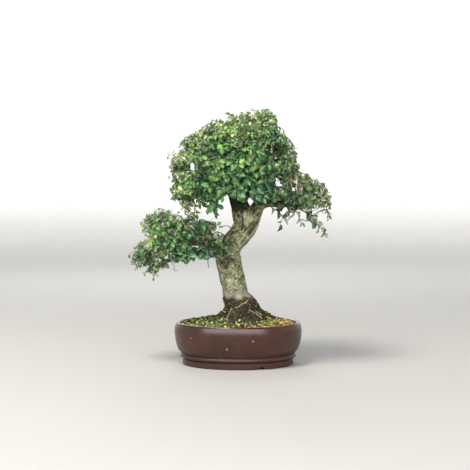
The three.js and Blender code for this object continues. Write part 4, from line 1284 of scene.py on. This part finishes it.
def sprayTree(name):  # edges become twigs, points with a size carry leaves
    group = newGroup(name, (
        ("Leaves", "Collection"), ("Leaf size", "Float"), ("Twig size", "Float"), ("Twig sides", "Int"),
        ("Leaf finish", "Material"), ("Twig finish", "Material")))
    given = addNode(group, "NodeGroupInput")
    size = addNode(group, "GeometryNodeInputNamedAttribute", {"data_type": "FLOAT"}, {"Name": "size"})
    turn = addNode(group, "GeometryNodeInputNamedAttribute", {"data_type": "FLOAT_VECTOR"}, {"Name": "turn"})
    girth = addNode(group, "GeometryNodeInputNamedAttribute", {"data_type": "FLOAT"}, {"Name": "girth"})
    kind = addNode(group, "GeometryNodeInputNamedAttribute", {"data_type": "INT"}, {"Name": "kind"})
    bare = addNode(group, "GeometryNodeMeshToCurve", inputs={"Mesh": given.outputs["Geometry"]})
    ringShape = addNode(group, "GeometryNodeCurvePrimitiveCircle",
                        inputs={"Resolution": given.outputs["Twig sides"], "Radius": 1.0})
    twigScale = addNode(group, "ShaderNodeMath", {"operation": "MULTIPLY"},
                        {0: girth, 1: given.outputs["Twig size"]})
    twigs = addNode(group, "GeometryNodeCurveToMesh", inputs={
        "Curve": bare, "Profile Curve": ringShape, "Scale": twigScale, "Fill Caps": True})
    wanted = addNode(group, "FunctionNodeCompare", {"data_type": "FLOAT", "operation": "GREATER_THAN"},
                     {0: size, 1: 0.0})
    spots = addNode(group, "GeometryNodeMeshToPoints", inputs={
        "Mesh": given.outputs["Geometry"], "Selection": wanted})
    leaves = addNode(group, "GeometryNodeCollectionInfo", inputs={
        "Collection": given.outputs["Leaves"], "Separate Children": True, "Reset Children": True})
    rotation = addNode(group, "FunctionNodeEulerToRotation", inputs={"Euler": turn})
    scale = addNode(group, "ShaderNodeMath", {"operation": "MULTIPLY"},
                    {0: size, 1: given.outputs["Leaf size"]})
    hung = addNode(group, "GeometryNodeInstanceOnPoints", inputs={
        "Points": spots, "Instance": leaves, "Pick Instance": True,
        "Instance Index": kind, "Rotation": rotation,
        "Scale": scale})
    joined = addNode(group, "GeometryNodeJoinGeometry", inputs={"Geometry": hung})
    feed(joined, {"Geometry": twigs})
    real = addNode(group, "GeometryNodeRealizeInstances", inputs={"Geometry": joined})
    blade = addNode(group, "GeometryNodeInputNamedAttribute", {"data_type": "FLOAT"}, {"Name": "isLeaf"})
    isLeaf = addNode(group, "FunctionNodeCompare", {"data_type": "FLOAT", "operation": "GREATER_THAN"},
                     {0: blade, 1: 0.5})
    woody = addNode(group, "GeometryNodeSetMaterial", inputs={
        "Geometry": real, "Material": given.outputs["Twig finish"]})
    leafy = addNode(group, "GeometryNodeSetMaterial", inputs={
        "Geometry": woody, "Selection": isLeaf, "Material": given.outputs["Leaf finish"]})
    addNode(group, "NodeGroupOutput", inputs={"Geometry": leafy})
    return group


def spherePoints(count, rnd):  # even directions all round
    phase = rnd.uniform(0, full)
    spots = []
    for k in range(count):
        z = 1 - 2 * (k + 0.5) / count
        angle = phase + k * goldenAngle
        flat = math.sqrt(1 - z * z)
        spots.append(np.array([flat * math.cos(angle), flat * math.sin(angle), z]))
    return spots


def anyWay(rnd, spread=1.0):
    return np.array([rnd.gauss(0, spread) for _ in range(3)])


def bowedPath(start, end, bow, sway, step=6):
    length = np.linalg.norm(end - start)
    across = unit(np.cross(end - start, up) + 1e-6)
    steps = max(3, int(length / step))
    arch = (up * bow + across * sway) * length
    shares = [i / steps for i in range(steps + 1)]
    return [start + (end - start) * u + arch * math.sin(math.pi * u) for u in shares]


class Spray:  # points, twig edges and leaves while they grow
    def __init__(self, heart, rnd):
        self.heart, self.rnd = np.array(heart, float), rnd
        self.shootTone = self.slack = 0.0
        self.points, self.edges = [], []
        self.values = {"girth": [], "size": [], "tone": [], "kind": [], "turn": []}

    def addPoint(self, spot, girth=0.0, size=0.0, tone=0.0, kind=0, turn=(0, 0, 0)):
        self.points.append(spot)
        for values, value in zip(self.values.values(), (girth, size, tone, kind, turn)):
            values.append(value)
        return len(self.points) - 1

    def addTwig(self, path, girth, tip, tone=0.35):
        last = None
        for i, spot in enumerate(path):
            here = self.addPoint(spot, girth + (tip - girth) * i / (len(path) - 1), tone=tone)
            if last is not None:
                self.edges.append((last, here))
            last = here

    def addLeaf(self, spot, forward, size, age=None, free=False):
        rnd = self.rnd
        away, upward, chance = foliage["facing"]
        normal = unit(unit(spot - self.heart) * away + up * upward + anyWay(rnd, chance))
        forward = unit(forward - up * 0.25)
        normal = unit(normal - forward * np.dot(normal, forward))
        side = np.cross(forward, normal)
        for share in (1.0, 0.6):
            length = size * share
            tip = spot + forward * length
            corners = (tip, spot + (forward + side) * 0.5 * length, spot + (forward - side) * 0.5 * length)
            if all(inReach(corner) for corner in corners) and (free or inFoliage(tip, self.slack)):
                break
        else:
            return
        if not free and inGap((spot + tip) / 2, length):
            return
        if age is None:
            age = growthAt(spot)[1] + 0.3 * noise.noise(Vector(spot) / 12)
        # colour by age: young leaves pale, old ones dark, which also paints the light on the crown's top and
        # the shade lower down
        tone = min(1, max(0.1, 0.95 * age + self.shootTone + rnd.gauss(0, 0.1)))
        if length < foliage["smallLeaf"]:
            kind = 3 + rnd.randrange(2)
            if not free and rnd.random() < foliage["yellowShare"] * 2:
                tone = 0.0
        else:
            kind = rnd.randrange(3)
        turn = Matrix((side, forward, normal)).transposed().to_euler()
        self.addPoint(spot, 0.0, length, tone, kind, tuple(turn))

    def addShoot(self, path, girth, sub=2, leafLength=None, age=None, bareShare=0.25):
        rnd = self.rnd
        steps = len(path) - 1
        length = sum(np.linalg.norm(path[i + 1] - path[i]) for i in range(steps))
        if length < 6:
            return
        free = leafLength is not None
        self.addTwig(path, girth, 0.35)
        size = leafLength or growthAt(path[-1])[0]
        count = max(2, int(length * (1 - bareShare) / (foliage["leafGap"] * size)))
        phase = rnd.uniform(0, full)
        for k in range(count):
            u = bareShare + (1 - bareShare) * (k + 0.6) / count
            i = min(steps - 1, int(u * steps))
            spot = path[i] + (path[i + 1] - path[i]) * (u * steps - i)
            forward = unit(path[i + 1] - path[i])
            side = unit(np.cross(forward, up) + 1e-6)
            angle = phase + k * foliage["leafTurn"]
            aside = side * math.cos(angle) + np.cross(side, forward) * math.sin(angle)
            self.addLeaf(spot, unit(forward * 0.55 + aside * 0.9),
                         size * rnd.uniform(0.72, 1.25) * (1.1 - 0.3 * u), age, free)
        self.addLeaf(path[-1], unit(path[-1] - path[-2]), size * rnd.uniform(0.6, 0.85), age, free)
        for _ in range(sub):
            i = min(steps - 1, int(rnd.uniform(0.35, 0.8) * steps))
            way = unit(unit(path[i + 1] - path[i]) * 0.6 + unit(anyWay(rnd)) * 0.8)
            target = path[i] + way * length * rnd.uniform(0.35, 0.5)
            if inReach(target, 3):
                self.addShoot(bowedPath(path[i], target, 0.04, rnd.uniform(-0.1, 0.1)), girth * 0.6, 0)

    def grow(self, name, leaves, slot, *replaced):
        piece = newPiece(name, self.points, [], [], self.edges, smooth=False)
        kinds = {"kind": "INT", "turn": "FLOAT_VECTOR"}
        for label, values in self.values.items():
            addValues(piece.data, label, values, kinds.get(label, "FLOAT"))
        grown = piece.modifiers.new("shoots", "NODES")
        grown.node_group = sprayGroup
        setInputs(grown, {"Leaves": leaves, "Leaf size": mm, "Twig size": mm, "Twig sides": 4,
                          "Leaf finish": leaf, "Twig finish": twigBark})
        settle(piece)
        attach(piece, slot, *replaced)
        return piece


leaves = leafSet()
sprayGroup = sprayTree("shootsAndLeaves")
squash = np.array([1, 1, 0.88])   # sprays are a little lower than wide
leafCount = 0
leafyPieces = []
for number, (name, (group, radius, centre, root, inward, meet)) in enumerate(sprays.items()):
    rnd = random.Random(700 + number)
    low = group == "left_low"
    spray = Spray(foliage["padHeart" if low else "crownHeart"], rnd)
    spray.addTwig([meet + (centre - meet) * i / 4 for i in range(5)], 1.8, 1.1, 0.6 if low else 0.35)
    outward = unit(centre - spray.heart)
    shoots = foliage["fewerShoots"].get(name, foliage["lowShoots"].get(group, foliage["shoots"]))
    for way in spherePoints(shoots, rnd):
        if np.dot(way, outward) < foliage["leastOutward"]:
            continue
        way = unit(way + anyWay(rnd, foliage["scatter"]) + outward * foliage["outwardLean"])
        start = meet + (centre - meet) * rnd.uniform(0.3, 1.0)
        reach = radius * rnd.uniform(*foliage["shootReach"])
        spray.slack = rnd.gauss(0, foliage["raggedness"])
        while reach > 0.3 * radius:
            goal = centre + way * squash * reach
            if inFoliage(goal, spray.slack) and inReach(goal, 4):
                break
            reach *= 0.88
        for _ in range(foliage["growTimes"]):
            further = centre + way * squash * (reach + foliage["growOn"])
            if np.dot(way, outward) > 0.2 and inFoliage(further, spray.slack) and inReach(further, 12):
                reach += foliage["growOn"]
        end = centre + way * squash * reach
        spray.shootTone = rnd.gauss(0.03, 0.06)
        subShoots = 3 if growthAt(end)[0] < foliage["smallLeaf"] else 2
        spray.addShoot(bowedPath(start, end, rnd.uniform(-0.02, 0.1), rnd.uniform(-0.1, 0.1)),
                       foliage["shootRadius"], subShoots)
    spray.slack = foliage["innerSlack"]
    for _ in range(foliage["innerLeaves"] // (2 if low else 1)):
        spot = centre + unit(anyWay(rnd)) * squash * radius * rnd.uniform(0.15, 0.6)
        spray.shootTone = foliage["innerTone"]
        spray.addLeaf(spot, unit(anyWay(rnd) - up * 0.3), foliage["innerLeaf"])
    for _ in range(foliage["innerTwigs"]):  # bare twigs inside the spray
        way = unit(anyWay(rnd) - outward * 0.4)
        end = centre + way * squash * radius * rnd.uniform(0.6, 1.0)
        if inFoliage(end):
            spray.addTwig(bowedPath(meet, end, rnd.uniform(-0.1, 0.1), rnd.uniform(-0.15, 0.15)),
                          rnd.uniform(0.6, 1.0), 0.35, rnd.uniform(0.5, 0.8))
    for depth, leafLength, age, line in foliage["hanging"].get(name, []):
        stations = [(*inView(x, z, depth), 1) for x, z in line]
        spray.shootTone = 0.0
        spray.addShoot(list(smoothPath(stations, 5)[:, :3]), 0.9, 0, leafLength, age, 0.1)
    leafCount += sum(1 for size in spray.values["size"] if size > 0)
    leafyPieces.append(spray.grow("leafy_" + name, leaves, "leaf", name))

# dry twigs: bare and brittle, in bunches at the foliage's surface and on their own by the trunk
bareTwigs = {
    # bunches as the camera sees them: x, z, number, reach
    "bunches": [
        (6, 496, 20, 24), (-28, 500, 9, 18), (60, 486, 7, 16), (-60, 440, 6, 18), (78, 420, 9, 20),
        (110, 400, 8, 22), (150, 392, 12, 22), (182, 360, 9, 18), (-182, 300, 12, 22), (-196, 268, 8, 20),
        (-163, 250, 12, 26), (-110, 300, 7, 18), (-66, 286, 10, 22), (40, 540, 6, 12), (-88, 484, 6, 16)],
    "allRound": 26, "roundBunch": (5, 18),   # more bunches on the sides and the back: number, reach
    # single twigs: depth, radius, then x and z along the twig
    "single": [
        (-24, 1.5, [(-22, 262), (-14, 293), (-20, 301), (-31, 302), (-42, 297)]),
        (-28, 1.3, [(-26, 279), (-46, 289), (-59, 282)]),
        (-26, 1.2, [(-34, 284), (-38, 276), (-48, 274), (-54, 282)]),
        (-18, 1.5, [(-46, 241), (-58, 241), (-65, 238), (-66, 224), (-65, 210)]),
        (-30, 0.9, [(-147, 226), (-141, 215), (-138, 207)]),
        (-30, 0.8, [(-143, 209), (-137, 203), (-132, 206)])],
}
rnd = random.Random(77)
dry = Spray(foliage["crownHeart"], rnd)
canopy = hitTree(*leafyPieces)


def twigBunch(place, outward, number, reach):
    for _ in range(number):
        start = place + anyWay(rnd, 0.3 * reach) + outward * 2
        way = unit(anyWay(rnd) + up * 0.4 + outward * 0.4)
        path = bowedPath(start, start + way * reach * rnd.uniform(0.5, 1.0), rnd.uniform(-0.15, 0.15),
                         rnd.uniform(-0.2, 0.2), 4)
        fork = path[len(path) // 2]
        side = bowedPath(fork, fork + unit(way + anyWay(rnd, 0.7)) * reach * 0.4, 0.1, 0.0, 4)
        if all(inReach(spot, 1) and inFoliage(spot, -4) for spot in path + side):
            shade = rnd.uniform(0.7, 1.1)
            dry.addTwig(path, rnd.uniform(0.55, 0.95), 0.35, shade)
            dry.addTwig(side, 0.5, 0.3, shade)


for x, z, number, reach in bareTwigs["bunches"]:
    place, _ = sightHit(canopy, x, z)
    if place is not None:
        twigBunch(place, np.array([0, -1.0, 0]), number, reach)
for k in range(bareTwigs["allRound"]):
    low = k % 4 == 0
    goal = np.array(foliage["padHeart" if low else "crownHeart"]) + up * rnd.uniform(0, 110) * (not low)
    goal = goal + up * 40 * low
    angle = -0.4 + (full / 2 + 0.8) * (k + rnd.random()) / bareTwigs["allRound"]
    outward = np.array([math.cos(angle), math.sin(angle), 0.25])
    place = canopy.ray_cast(Vector(toFrame(goal + outward * 500)), Vector(-outward).normalized())[0]
    if place is not None:
        twigBunch((np.array(place) - potMiddle) / mm, outward, *bareTwigs["roundBunch"])
for depth, thickness, line in bareTwigs["single"]:
    path = list(smoothPath([(*inView(x, z, depth), 1) for x, z in line], 4)[:, :3])
    dry.addTwig(path, thickness, 0.45 * thickness, 0.6)
dry.grow("dryTwigs", leaves, "bark")
clearShapes(leaves)
print("foliage:", len(sprays), "sprays,", leafCount, "leaves")
